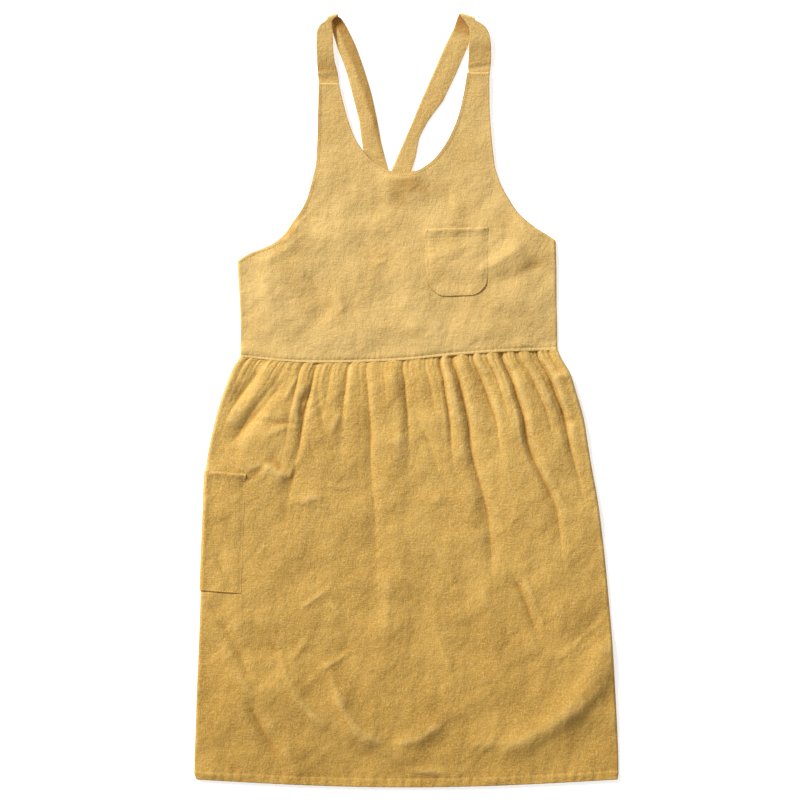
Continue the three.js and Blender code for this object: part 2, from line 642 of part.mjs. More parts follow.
function strapRows(strap) {
  const plan = strapPlan(strap);
  const otherStrap = straps.find((each) => each !== strap);
  const other = strapPlan(otherStrap);
  const axis = plan.up.clone().add(plan.down).normalize(); // along the fold line
  if (axis.x < 0) axis.negate();
  const outward = new THREE.Vector2(-axis.y, axis.x);
  const across = new THREE.Vector2(plan.up.y, -plan.up.x);
  const rise = plan.fold.distanceTo(plan.start);
  const turnStart = -foldRadius - strapWall / 2;
  const turnLength = Math.PI * foldRadius;
  const climb = plan.up.dot(outward);
  const skew = -across.dot(outward) / climb;
  const frontLength = rise + turnStart / climb;
  const backLength = plan.end.distanceTo(plan.fold);
  const meet = crossing(strap, plan, otherStrap, other);
  const angle = plan.down.angleTo(other.down);
  const hold = ((strapWidth / 2) * (1 + Math.cos(angle))) / Math.sin(angle) + strapSettle / 4;

  const stations = [0, 0.14, 0.35, 0.6, 0.82, 0.94].map((share) => share * frontLength);
  for (let i = 0; i <= 6; i += 1) stations.push(frontLength + (turnLength / climb) * (i / 6));
  const behind = stations.at(-1);
  const backStart = -turnStart / climb; // from the fold's outermost line to where the turn ends
  const panelAt = backLength - strapSewn - strapWidth * Math.abs(plan.down.x); // risen by here
  const marks = [0.12, 0.2, 0.28, 0.36].map((share) => share * backLength);
  marks.push(meet - hold - strapSettle, meet - hold, meet, meet + hold, meet + hold + strapSettle);
  marks.push(panelAt - strapRamp, panelAt, backLength - strapSewn, backLength);
  marks.sort((a, b) => a - b);
  let before = backStart;
  for (const mark of marks) {
    if (mark > before + strapWall && mark <= backLength) {
      stations.push(behind + mark - backStart);
      before = mark;
    }
  }

  return stations.map((along) => {
    const away = Math.max(frontLength - along, along - behind);
    const slant = skew * (1 - smooth(away / strapSwing));
    const row = [];
    for (let i = 0; i <= strapCells; i += 1) {
      const side = strapWidth * (i / strapCells - 0.5);
      const s = along + slant * side;
      const flat = plan.start.clone().addScaledVector(plan.up, s).addScaledVector(across, side);
      const from = flat.clone().sub(plan.fold);
      const reach = from.dot(outward) - turnStart;
      const turn = clamp(reach / turnLength) * Math.PI;
      const beyond = Math.max(reach - turnLength, 0);
      const out = reach < 0 ? reach : foldRadius * Math.sin(turn) - beyond;
      const at = plan.fold.clone().addScaledVector(axis, from.dot(axis));
      at.addScaledVector(outward, turnStart + out);
      const back = beyond > 0 ? beyond / climb + backStart : 0;
      at.add(bowAt(strap, plan, (back - backStart) / (backLength - backStart)));
      row.push({ x: at.x, y: at.y, z: heightAt(s, turn, back), wall: strapWall });
    }
    return row;
  });

  function heightAt(s, turn, back) {
    const top = strapFloor + 2 * foldRadius;
    if (turn === 0) return mix(strapStart, top, smooth((s - strapTuck) / (frontLength - strapTuck)));
    if (back === 0) return strapFloor + foldRadius * (1 + Math.cos(turn));
    const over = strap.layer * (strapWall + clearance);
    const crossed = 1 - smooth((Math.abs(back - meet) - hold) / strapSettle);
    const sewn = smooth((back - panelAt + strapRamp) / strapRamp);
    return strapFloor + Math.max(over * crossed, (strapEnd - strapFloor) * sewn);
  }
}

// Pockets

function makeChestPocket() {
  const middle = new THREE.Vector2(
    chestPocketPlace.out * halfWaist,
    chestPocketPlace.up * bodiceHeight,
  );
  const straight = chestPocketDepth - chestPocketCorner;
  const depths = [0, pocketHem, pocketHem + stitchStep, mix(pocketHem, straight, 0.5), straight];
  for (const share of [0.4, 0.7, 0.9, 1]) depths.push(straight + chestPocketCorner * share);
  const rows = depths.map((depth) => {
    const round = Math.max(depth - straight, 0);
    const side = Math.sqrt(chestPocketCorner ** 2 - round ** 2) - chestPocketCorner;
    const half = chestPocketWidth / 2 + side;
    const row = [];
    for (let i = 0; i <= pocketCells; i += 1) {
      const at = new THREE.Vector2(half * ((2 * i) / pocketCells - 1), -depth);
      at.rotateAround(new THREE.Vector2(), chestPocketPlace.tilt).add(middle);
      const wall = depth <= pocketHem ? hemWall : clothWall;
      row.push(clothPoint(at.x, at.y, bibUnder(at.x, at.y) + clothWall + clearance, wall));
    }
    return row;
  });
  return clothSolid('chest_pocket', [rows.reverse()], '#e1be7b');
}

// One row of the side pocket: from its edge behind, round the side fold, to its edge in front.
function sidePocketRow(row) {
  const { left, right } = skirtEnds(row);
  const half = clothWall / 2;
  const rim = rimUnder(row) + half;
  const topAt = (offset) => crestUnder(row, Math.max(offset, 0) / (right - left)) + half;
  const line = [sidePocketBack, sidePocketBack / 2, sideRoll].map((offset) => [offset, half]);
  for (const share of [0, 1 / 3, 2 / 3, 1]) {
    const angle = (share * Math.PI) / 2;
    line.push([-pocketOff * Math.sin(angle), half + pocketOff * (1 - Math.cos(angle))]);
  }
  for (const share of [0, 0.25, 0.5, 0.75, 1]) {
    const angle = (share * Math.PI) / 2;
    const offset = sideRoll - (sideRoll + pocketOff) * Math.cos(angle);
    line.push([offset, rim + (topAt(offset) - rim + pocketOff) * Math.sin(angle)]);
  }
  for (const share of [0.34, 0.67, 1]) {
    const offset = mix(sideRoll, sidePocketFront, share);
    line.push([offset, topAt(offset) + pocketOff]);
  }
  return line.map(([offset, z]) => {
    const y = skirtY(row, left + offset, Math.max(offset, 0) / (right - left));
    return { x: left + offset, y, z, wall: clothWall };
  });
}

function makeSidePocket() {
  const end = sidePocketTop + pocketSpan;
  const near = stitchStep / skirtLength;
  const rows = skirtRows().filter((row) => row.down > sidePocketTop - near && row.down < end + near);
  return clothSolid('side_pocket', [rows.map(sidePocketRow).reverse()], '#d2aa62');
}

const apron = new THREE.Group();
apron.add(makeBib(), makeBackPanel(), ...makeSkirt(), makeChestPocket(), makeSidePocket());
for (const strap of straps) apron.add(clothSolid(strap.name, [strapRows(strap)], '#dcb772'));

// The origin is the middle of the footprint, on the surface the apron lies on.
const box = new THREE.Box3().setFromObject(apron, true);
const middle = box.getCenter(new THREE.Vector3());
apron.position.set(-middle.x, -middle.y, -box.min.z);

export default apron;
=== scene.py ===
import math
import bpy
import numpy as np
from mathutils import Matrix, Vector
from mathutils.bvhtree import BVHTree


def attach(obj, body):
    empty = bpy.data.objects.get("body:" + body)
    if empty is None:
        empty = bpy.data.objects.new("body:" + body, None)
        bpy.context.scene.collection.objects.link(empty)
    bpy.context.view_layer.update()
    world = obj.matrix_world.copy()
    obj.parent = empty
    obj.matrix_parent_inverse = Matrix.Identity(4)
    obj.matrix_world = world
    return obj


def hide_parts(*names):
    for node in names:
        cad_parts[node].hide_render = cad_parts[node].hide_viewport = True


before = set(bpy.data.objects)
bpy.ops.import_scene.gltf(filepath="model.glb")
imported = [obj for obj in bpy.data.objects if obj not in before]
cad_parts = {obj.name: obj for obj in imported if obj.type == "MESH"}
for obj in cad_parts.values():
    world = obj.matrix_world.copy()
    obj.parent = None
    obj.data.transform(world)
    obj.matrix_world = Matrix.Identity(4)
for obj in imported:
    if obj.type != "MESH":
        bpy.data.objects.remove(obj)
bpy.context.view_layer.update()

# Kitchen apron, a washed cotton pinafore laid flat on its back, seen from straight above.
# Everything is worked out in millimetres on a drawing whose x = 0 is the middle of the waist and
# whose y = 0 is the left end of the waist seam. "lay" moves that drawing into the frame.

garment = {
    "lay": (-11.305, 60.091),
    "halfWaist": 222.5,
    "bodiceHeight": 386.0,
    "skirtLength": 592.0,
    "flare": 150.0,
    "leftFlare": 0.43,
    "hemBow": 11.0,
    "sideRoll": 3.5,
    "sideSettle": 70.0,  # width over which the cloth comes down to its side edges
    "sideFoot": 1.3,  # and how high above the cloth beneath it ends there
    "cloth": 1.3,  # thickness
    "clothWall": 1.4,  # room that each cloth has in the frame
    "clearance": 0.35,
    "waistRoom": 4.6,  # open height between the skirt's front and back
    "neckUnder": 5.05,  # how high the bib's underside lies at the neckline
    "tabUnder": 4.35,  # and at the tops of the tabs
    "fullness": 9.0,  # height of the fullest gather
    "nominalWidth": 450.0,  # that the bodice's columns are spread over
}
halfWaist = garment["halfWaist"]
bodiceHeight = garment["bodiceHeight"]
skirtLength = garment["skirtLength"]
lapUnder = garment["clothWall"] + garment["clearance"]
skirtUnder = 2 * garment["clothWall"] + garment["clearance"] + garment["waistRoom"]
bibWaistUnder = skirtUnder + lapUnder
edgeSteps = (0, 0.6, 1.5, 2.6, 3.6, 4.6, 6.2, 8.5)  # from an edge to its close columns


def smooth(value):
    t = np.clip(value, 0, 1)
    return t * t * (3 - 2 * t)


def mix(a, b, t):
    return a + (b - a) * t


def rollAt(distance, reach):
    t = 1 - np.clip(distance / reach, 0, 1)
    return np.sqrt(1 - t * t)


# Smooth curve through table values, kept inside them.
def spline(keys, values, at):
    keys, values, at = (np.asarray(a, float) for a in (keys, values, at))
    step = np.diff(keys)
    slope = np.diff(values) / step
    tangent = np.empty_like(values)
    tangent[0], tangent[-1] = slope[0], slope[-1]
    tangent[1:-1] = (slope[:-1] * step[1:] + slope[1:] * step[:-1]) / (step[:-1] + step[1:])
    i = np.clip(np.searchsorted(keys, at, side="right") - 1, 0, len(keys) - 2)
    t = np.clip((at - keys[i]) / step[i], 0, 1)
    a, b, h = values[i], values[i + 1], step[i]
    return (
        a * (1 + 2 * t) * (1 - t) ** 2
        + b * t * t * (3 - 2 * t)
        + h * t * (1 - t) ** 2 * tangent[i]
        - h * t * t * (1 - t) * tangent[i + 1]
    )


# Shares of a width with close columns at chosen distances from its ends.
def graded(width, count, steps=edgeSteps):
    edge = np.array(steps) / width
    inner = np.linspace(edge[-1], 1 - edge[-1], count - 2 * len(steps) + 2)
    return np.concatenate([edge[:-1], inner, 1 - edge[:-1][::-1]])


# Even, seeded noise between about -1 and 1, one bump to each unit.
def latticeNoise(x, y, seed):
    turn = np.random.default_rng(seed).random((64, 64)) * 2 * math.pi
    xi, yi = np.floor(x).astype(int), np.floor(y).astype(int)
    xf, yf = x - xi, y - yi

    def corner(dx, dy):
        angle = turn[(xi + dx) % 64, (yi + dy) % 64]
        return np.cos(angle) * (xf - dx) + np.sin(angle) * (yf - dy)

    u, v = (t * t * t * (t * (6 * t - 15) + 10) for t in (xf, yf))
    low = mix(corner(0, 0), corner(1, 0), u)
    high = mix(corner(0, 1), corner(1, 1), u)
    return 1.5 * mix(low, high, v)


# Sharp small ridges such as washing leaves, about -1 to 1.
def crinkles(x, y, pitch, turn, stretch, seed):
    along = (x * math.cos(turn) + y * math.sin(turn)) / (pitch * stretch)
    across = (y * math.cos(turn) - x * math.sin(turn)) / pitch
    bend = 0.3 * latticeNoise(along * 0.6, across * 0.3, seed + 1)
    ridge = 1 - 2.4 * np.sqrt(latticeNoise(along + bend, across - bend, seed) ** 2 + 0.0012)
    side = latticeNoise(along * 0.4 + 9, across * 0.4 + 5, seed + 2)
    return ridge * np.clip(side * 3, -1, 1)


washing = {
    "waves": [(48, 48, 2.0), (21, 26, 0.75)],  # pitch across, pitch along, height
    "dimples": [(11, 12, 0.3), (6, 6, 0.12)],
    # sharp ridges in two directions: pitch, turn, how long they are for it, seed
    "crinkles": [(17, 0.75, 4.2, 0), (15, -0.85, 4.4, 10)],
    "smallCrinkles": [(8, -1.3, 3.6, 24), (8.5, 0.1, 3.6, 20)],
    "crinkleHeight": 0.5,
    "smallHeight": 0.24,
}


# Washed cloth: broad waves and dimples, and crinkles that run in two directions and come and go.
def washedCloth(x, y, size, seed, waves=1.0):
    patch = smooth(0.5 + 0.9 * latticeNoise(x / 70 + 3, y / 70 + 8, seed + 30))
    rest = 0.3 + 0.7 * smooth(0.5 + 1.1 * latticeNoise(x / 50 + 13, y / 50 + 2, seed + 31))

    def swell(rows, first):
        noises = (latticeNoise(x / wide, y / long, first + i) for i, (wide, long, _) in enumerate(rows))
        return sum(row[2] * noise for row, noise in zip(rows, noises))

    def ridges(rows):
        one, other = (crinkles(x, y, pitch, turn, long, seed + own) for pitch, turn, long, own in rows)
        return mix(one, other, patch)

    sharp = washing["crinkleHeight"] * ridges(washing["crinkles"])
    sharp = sharp + washing["smallHeight"] * ridges(washing["smallCrinkles"])
    soft = waves * swell(washing["waves"], seed + 32) + swell(washing["dimples"], seed + 34)
    return size * (soft + rest * sharp)


# Lifts and hollows along curves of three points, with their own width on each side of the way.
def creaseField(x, y, table):
    lift = np.zeros_like(x)
    for x1, y1, x2, y2, x3, y3, rise, wideLeft, wideRight in table:
        rise = rise * mix(1.6, 1.9, float(smooth((max(wideLeft, wideRight) - 5) / 8)))
        t = np.linspace(0, 1, 13)
        midX, midY = 2 * x2 - (x1 + x3) / 2, 2 * y2 - (y1 + y3) / 2
        lineX = x1 * (1 - t) ** 2 + 2 * midX * t * (1 - t) + x3 * t * t
        lineY = y1 * (1 - t) ** 2 + 2 * midY * t * (1 - t) + y3 * t * t
        reach = 4 * max(wideLeft, wideRight)
        near = (
            (x > lineX.min() - reach) & (x < lineX.max() + reach)
            & (y > lineY.min() - reach) & (y < lineY.max() + reach)
        )
        if not near.any():
            continue
        px, py = x[near], y[near]
        best = np.full(px.shape, 1e9)
        side = np.zeros(px.shape)
        share = np.zeros(px.shape)
        for i in range(12):
            dx, dy = lineX[i + 1] - lineX[i], lineY[i + 1] - lineY[i]
            part = np.clip(((px - lineX[i]) * dx + (py - lineY[i]) * dy) / (dx * dx + dy * dy), 0, 1)
            offX, offY = px - lineX[i] - part * dx, py - lineY[i] - part * dy
            distance = np.hypot(offX, offY)
            closer = distance < best
            best = np.where(closer, distance, best)
            side = np.where(closer, dx * offY - dy * offX, side)
            share = np.where(closer, (i + part) / 12, share)
        wide = np.where(side > 0, wideLeft, wideRight)
        ends = smooth(share / 0.3) * smooth((1 - share) / 0.3)
        lift[near] += rise * (0.15 + 0.85 * ends) * np.exp(-(best / wide) ** 1.5)
    return lift


def distanceTo(x, y, line):
    best = np.full(x.shape, 1e9)
    for (ax, ay), (bx, by) in zip(line[:-1], line[1:]):
        dx, dy = bx - ax, by - ay
        t = np.clip(((x - ax) * dx + (y - ay) * dy) / (dx * dx + dy * dy + 1e-9), 0, 1)
        best = np.minimum(best, np.hypot(x - ax - t * dx, y - ay - t * dy))
    return best


def newObject(name, corners, faces, material):
    mesh = bpy.data.meshes.new(name)
    mesh.from_pydata(corners, [], faces)
    mesh.polygons.foreach_set("use_smooth", [True] * len(mesh.polygons))
    mesh.materials.append(material)
    made = bpy.data.objects.new(name, mesh)
    bpy.context.scene.collection.objects.link(made)
    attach(made, "root")
    return made


# Blurs a grid of heights, for what lies higher or lower than the cloth around it.
def blurred(grid, rounds):
    out = grid.copy()
    for _ in range(rounds):
        wide = np.pad(out, 1, mode="edge")
        out = (wide[:-2, 1:-1] + wide[2:, 1:-1] + wide[1:-1, :-2] + wide[1:-1, 2:] + 2 * out) / 6
    return out


# Sews grids of points into one cloth with two faces and an edge all round. The face that lies
# down has a third of the rows and columns. A patch has at = rows x columns x 3 in millimetres,
# flat = rows x columns x 2, and its thickness.
def sewCloth(name, patches, material, underStep=3):
    points, flats, walls, wearAndShadeValues, paintedShades, quads, underQuads, sides = [], [], [], [], [], [], [], []
    start = 0
    for patch in patches:
        rows, columns = patch["at"].shape[:2]
        height = patch["at"][:, :, 2]
        points.append(patch["at"].reshape(-1, 3))
        flats.append(patch["flat"].reshape(-1, 2))
        walls.append(np.broadcast_to(patch["wall"], (rows, columns)).reshape(-1))
        # lighter where the cloth stands above its neighbours (wear), darker in hollows and where a patch
        # marks shade inside (painted shade)
        wornAndShaded = np.clip(0.5 + 0.4 * (height - blurred(height, 26)), 0, 1) - patch.get("inside", 0)
        wearAndShadeValues.append(wornAndShaded.reshape(-1))
        # painted shade that the patch gives
        paintedShades.append(np.broadcast_to(patch.get("shade", 0.0), (rows, columns)).reshape(-1))
        index = start + np.arange(rows * columns).reshape(rows, columns)
        keptRows = np.unique([*range(0, rows, underStep), rows - 1])
        keptColumns = np.unique([*range(0, columns, underStep), columns - 1])
        for grid, store in ((index, quads), (index[np.ix_(keptRows, keptColumns)], underQuads)):
            store.append(np.stack(
                [grid[:-1, :-1], grid[:-1, 1:], grid[1:, 1:], grid[1:, :-1]], axis=-1).reshape(-1, 4))
        sides += [
            (index[0], keptColumns),
            (index[:, -1], keptRows),
            (index[-1][::-1], columns - 1 - keptColumns[::-1]),
            (index[:, 0][::-1], rows - 1 - keptRows[::-1]),
        ]
        start += rows * columns
    points, flats = np.concatenate(points), np.concatenate(flats)
    walls, wearAndShadeValues, paintedShades = np.concatenate(walls), np.concatenate(wearAndShadeValues), np.concatenate(paintedShades)
    # points that meet are one
    spots = np.round(points * 500).astype(np.int64)
    _, first, same = np.unique(spots, axis=0, return_index=True, return_inverse=True)
    same = same.reshape(-1)
    points, flats, walls, wearAndShadeValues, paintedShades = (part[first] for part in (points, flats, walls, wearAndShadeValues, paintedShades))
    quads, underQuads = same[np.concatenate(quads)], same[np.concatenate(underQuads)]

    a, b, c, d = (points[quads[:, k]] for k in range(4))
    faceNormal = np.cross(c - a, d - b)
    normal = np.zeros_like(points)
    for k in range(4):
        np.add.at(normal, quads[:, k], faceNormal)
    normal /= np.linalg.norm(normal, axis=1, keepdims=True) + 1e-12
    count = len(points)
    used = np.unique(underQuads)
    lower = np.full(count, -1)
    lower[used] = count + np.arange(len(used))
    top = points + normal * walls[:, None] / 2
    under = (points - normal * walls[:, None] / 2)[used]

    edges = np.concatenate([quads[:, [k, (k + 1) % 4]] for k in range(4)])
    known = set(map(tuple, edges.tolist()))
    faces = quads.tolist() + lower[underQuads[:, ::-1]].tolist()
    for line, stops in sides:
        line = same[line]
        for a, b in zip(stops[:-1], stops[1:]):
            if (line[a + 1], line[a]) not in known:
                faces.append([*line[a:b + 1][::-1].tolist(), int(lower[line[a]]), int(lower[line[b]])])
    lay = np.array([*garment["lay"], 0.0])
    corners = (np.concatenate([top, under]) + lay) * 0.001
    made = newObject(name, corners.tolist(), faces, material)

    uv = made.data.uv_layers.new(name="cloth")
    order = np.empty(len(made.data.loops), dtype=np.int64)
    made.data.loops.foreach_get("vertex_index", order)
    source = np.concatenate([np.arange(count), used])
    uv.data.foreach_set("uv", (flats[source[order]] * 0.001).reshape(-1))
    for layerName, values in (("wearAndShade", wearAndShadeValues), ("shade", paintedShades)):
        layer = made.data.attributes.new(layerName, "FLOAT", "POINT")
        layer.data.foreach_set("value", values[source])
    triangles = sum(len(face) - 2 for face in faces)
    lowest, highest = corners[:, 2].min() * 1000, corners[:, 2].max() * 1000
    print(f"{name}: {triangles} triangles, {lowest:.2f} to {highest:.2f} mm high")
    return made


stitching = {
    "pitch": 3.2,
    "length": 2.3,
    "thread": 0.42,  # thickness
    "sink": 0.12,  # how deep a stitch lies in the cloth
    "sides": 6,
    # along the stitch as a share of it, thickness, lift
    "rings": [(-0.5, 0.45, -0.6), (-0.3, 1.0, 0.1), (0.3, 1.0, 0.1), (0.5, 0.45, -0.6)],
}


# Runs single stitches along paths over a cloth. A path is a list of (x, y) on the drawing.
def runStitches(name, cloth, paths, material):
    tree = BVHTree.FromObject(cloth, bpy.context.evaluated_depsgraph_get())
    lay = garment["lay"]
    sides, rings = stitching["sides"], stitching["rings"]
    corners, faces = [], []
    count = 0
    for path in paths:
        path = np.asarray(path, float)
        gaps = np.hypot(*np.diff(path, axis=0).T)
        run = np.concatenate([[0], np.cumsum(gaps)])
        total = max(int(run[-1] / stitching["pitch"]), 1)
        for k in range(total):
            s = (k + 0.5) * run[-1] / total
            (x1, y1), (x, y), (x2, y2) = (
                [np.interp(spot, run, path[:, axis]) for axis in (0, 1)] for spot in (s - 0.4, s, s + 0.4)
            )
            above = Vector(((x + lay[0]) * 0.001, (y + lay[1]) * 0.001, 0.1))
            spot, normal, _, _ = tree.ray_cast(above, Vector((0, 0, -1)))
            if spot is None:
                continue
            way = Vector((x2 - x1, y2 - y1, 0)).normalized()
            way = (way - normal * way.dot(normal)).normalized()
            out = normal.cross(way)
            base = len(corners)
            for share, fat, lift in rings:
                radius = stitching["thread"] / 2 * fat * 0.001
                centre = spot + way * (share * stitching["length"] * 0.001)
                centre += normal * ((lift + 0.5) * stitching["thread"] - stitching["sink"]) * 0.001
                for side in range(sides):
                    angle = 2 * math.pi * side / sides
                    corners.append(centre + (out * math.cos(angle) + normal * math.sin(angle)) * radius)
            for ring in range(len(rings) - 1):
                for side in range(sides):
                    a = base + ring * sides + side
                    b = base + ring * sides + (side + 1) % sides
                    faces.append([b, a, a + sides, b + sides])
            faces.append([base + side for side in range(sides)])
            last = base + (len(rings) - 1) * sides
            faces.append([last + side for side in reversed(range(sides))])
            count += 1
    made = newObject(name, [c[:] for c in corners], faces, material)
    print(f"{name}: {count} stitches")
    return made


clothLook = {
    "bib": {"light": (0.575, 0.388, 0.142), "deep": (0.485, 0.305, 0.092)},
    "skirt": {"light": (0.512, 0.309, 0.071), "deep": (0.402, 0.222, 0.038)},
    "strap": {"light": (0.53, 0.345, 0.115), "deep": (0.45, 0.275, 0.075)},
    "thread": (0.56, 0.375, 0.13),
    "threadPitch": 0.0011,  # metres from yarn to yarn
    "slubLength": 0.016,
    # painted shade: the cloth drawn darker and warmer deep in its folds
    "hollowShadeTint": (0.34, 0.15, 0.02),  # deep in a fold, where the cloth lights itself
    "wornTint": (0.66, 0.475, 0.19),  # on crests and folded edges
    # painted shade right inside a turned strap and at the chest pocket's lower edge
    "foldShadeTint": (0.27, 0.085, 0.01),  # right inside a turned strap
    # painted shade of shaded spots, cut edges and strap folds
    "paintedShadeTint": (0.40, 0.205, 0.04),  # of darker spots and rims
    # painted shade: the skirt drawn darker towards its hem
    "hemPaintedShade": (0.825, 0.783, 0.64),  # the skirt's lower end against its top
    "weaveDepth": 0.0005,
    "creaseDepth": 0.0012,
    "facets": [(52, 0.025, 0.46), (125, 0.01, 0.26)],  # flats of the crumpled cloth: how fine, wander, height
    "lineTurns": (0.1, -1.35),  # fine lines of the crumpled cloth
    "lineHeight": 0.15,
}


# Small helpers that add nodes to one material.
def nodeHelpers(nodes, links):
    def feed(socket, value):
        if isinstance(value, tuple):
            socket.default_value = (*value, 1)
        elif isinstance(value, (int, float)):
            socket.default_value = value
        else:
            links.new(value, socket)

    def combine(kind, a, b):
        node = nodes.new("ShaderNodeMath")
        node.operation = kind
        feed(node.inputs[0], a)
        feed(node.inputs[1], b)
        return node.outputs[0]

    def noise(source, scale, detail, roughness=0.5, stretch=(1, 1, 1), turn=0.0):
        turned = nodes.new("ShaderNodeMapping")
        turned.inputs["Rotation"].default_value = (0, 0, turn)
        links.new(source, turned.inputs["Vector"])
        mapping = nodes.new("ShaderNodeMapping")
        mapping.inputs["Scale"].default_value = stretch
        links.new(turned.outputs["Vector"], mapping.inputs["Vector"])
        node = nodes.new("ShaderNodeTexNoise")
        node.inputs["Scale"].default_value = scale
        node.inputs["Detail"].default_value = detail
        node.inputs["Roughness"].default_value = roughness
        links.new(mapping.outputs["Vector"], node.inputs["Vector"])
        return node.outputs["Fac"]

    def tint(factor, a, b, blend="MIX"):
        node = nodes.new("ShaderNodeMix")
        node.data_type = "RGBA"
        node.blend_type = blend
        for socket, value in ((node.inputs[0], factor), (node.inputs[6], a), (node.inputs[7], b)):
            feed(socket, value)
        return node.outputs[2]

    def ramp(factor, low, high):
        node = nodes.new("ShaderNodeMapRange")
        node.interpolation_type = "SMOOTHSTEP"
        node.inputs["From Min"].default_value = low
        node.inputs["From Max"].default_value = high
        links.new(factor, node.inputs["Value"])
        return node.outputs["Result"]

    return combine, noise, tint, ramp


def clothMaterial(name, tones, paintedShadeDown=None):
    material = bpy.data.materials.new(name)
    material.use_nodes = True
    nodes, links = material.node_tree.nodes, material.node_tree.links
    nodes.clear()
    out = nodes.new("ShaderNodeOutputMaterial")
    shader = nodes.new("ShaderNodeBsdfPrincipled")
    links.new(shader.outputs["BSDF"], out.inputs["Surface"])
    shader.inputs["Specular IOR Level"].default_value = 0.2
    shader.inputs["Sheen Weight"].default_value = 0.07
    shader.inputs["Sheen Roughness"].default_value = 0.5
    shader.inputs["Sheen Tint"].default_value = (1.0, 0.9, 0.7, 1)

    flat = nodes.new("ShaderNodeUVMap")
    flat.uv_map = "cloth"
    place = nodes.new("ShaderNodeTexCoord")
    combine, noise, tint, ramp = nodeHelpers(nodes, links)

    yarn = 1 / clothLook["threadPitch"]
    slub = clothLook["threadPitch"] / clothLook["slubLength"]
    warp = noise(flat.outputs["UV"], yarn, 1.0, stretch=(1, slub, 1))
    weft = noise(flat.outputs["UV"], yarn, 1.0, stretch=(slub, 1, 1))
    yarns = combine("MAXIMUM", warp, weft)
    grain = combine("MAXIMUM", noise(flat.outputs["UV"], 640, 2, 0.6, stretch=(1, 0.5, 1)),
                    noise(flat.outputs["UV"], 600, 2, 0.6, stretch=(0.5, 1, 1)))
    cloud = noise(place.outputs["Object"], 11, 4, 0.6)
    streak = noise(place.outputs["Object"], 45, 3, 0.6, stretch=(1, 0.35, 1), turn=0.6)
    # attribute that carries wear on the crests and painted shade in the hollows
    wearAndShade = nodes.new("ShaderNodeAttribute")
    wearAndShade.attribute_name = "wearAndShade"
    crest = wearAndShade.outputs["Fac"]
    # where the cloth lies lower than around it: painted shade
    hollow = combine("SUBTRACT", 1.0, crest)
    # painted shade from the patches' spots, rims and folds
    shade = nodes.new("ShaderNodeAttribute")
    shade.attribute_name = "shade"

    colour = tint(ramp(cloud, 0.3, 0.7), tones["deep"], tones["light"])
    # what steers each layer, from, to, how strong it is and its colour
    for steer, low, high, amount, layer in (
        (streak, 0.35, 0.75, 0.35, tones["light"]),
        (grain, 0.48, 0.7, 0.7, clothLook["wornTint"]),
        (yarns, 0.5, 0.78, 0.3, clothLook["wornTint"]),
        (combine("SUBTRACT", 1.0, yarns), 0.42, 0.6, 0.35, tones["deep"]),
        # painted shade in hollows and right inside turned folds
        (hollow, 0.64, 1.05, 0.5, clothLook["hollowShadeTint"]),
        (hollow, 1.0, 2.0, 0.8, clothLook["foldShadeTint"]),
        (crest, 0.58, 0.95, 0.32, clothLook["wornTint"]),
    ):
        colour = tint(combine("MULTIPLY", ramp(steer, low, high), amount), colour, layer)
    colour = tint(shade.outputs["Fac"], colour, clothLook["paintedShadeTint"])
    # painted shade, darker towards the hem
    if paintedShadeDown is not None:
        split = nodes.new("ShaderNodeSeparateXYZ")
        links.new(place.outputs["Object"], split.inputs[0])
        fall = ramp(split.outputs["Y"], *paintedShadeDown)
        colour = tint(1.0, colour, tint(fall, clothLook["hemPaintedShade"], (1.0, 1.0, 1.0)), "MULTIPLY")
    links.new(colour, shader.inputs["Base Color"])
    rough = nodes.new("ShaderNodeMapRange")
    rough.inputs["To Min"].default_value = 0.86
    rough.inputs["To Max"].default_value = 0.97
    links.new(cloud, rough.inputs["Value"])
    links.new(rough.outputs["Result"], shader.inputs["Roughness"])

    def facets(scale, wobble, share):
        drift = nodes.new("ShaderNodeTexNoise")
        drift.inputs["Scale"].default_value = scale * 0.6
        links.new(place.outputs["Object"], drift.inputs["Vector"])
        moved = nodes.new("ShaderNodeVectorMath")
        moved.operation = "MULTIPLY_ADD"
        moved.inputs[1].default_value = (wobble, wobble, 0)
        links.new(drift.outputs["Color"], moved.inputs[0])
        links.new(place.outputs["Object"], moved.inputs[2])
        cells = nodes.new("ShaderNodeTexVoronoi")
        cells.voronoi_dimensions = "2D"
        cells.feature = "DISTANCE_TO_EDGE"
        cells.inputs["Scale"].default_value = scale
        links.new(moved.outputs[0], cells.inputs["Vector"])
        return combine("MULTIPLY", cells.outputs["Distance"], share)

    lines = []
    for turn in clothLook["lineTurns"]:
        line = noise(place.outputs["Object"], 135, 4, 0.6, stretch=(0.28, 1, 1), turn=turn)
        lines.append(ramp(combine("ABSOLUTE", combine("SUBTRACT", line, 0.5), 0), 0.0, 0.07))
    crackle = combine("ADD", *(facets(*row) for row in clothLook["facets"]))
    crossed = combine("MULTIPLY", combine("MULTIPLY", *lines), clothLook["lineHeight"])
    crackle = combine("ADD", crackle, crossed)
    weave = combine("ADD", grain, combine("MULTIPLY", yarns, 0.35))
    layers = [(crackle, 1.0, clothLook["creaseDepth"]), (weave, 0.65, clothLook["weaveDepth"])]
    bumped = None
    for height, strength, depth in layers:
        bump = nodes.new("ShaderNodeBump")
        bump.inputs["Strength"].default_value = strength
        bump.inputs["Distance"].default_value = depth
        links.new(height, bump.inputs["Height"])
        if bumped is not None:
            links.new(bumped, bump.inputs["Normal"])
        bumped = bump.outputs["Normal"]
    links.new(bumped, shader.inputs["Normal"])
    return material


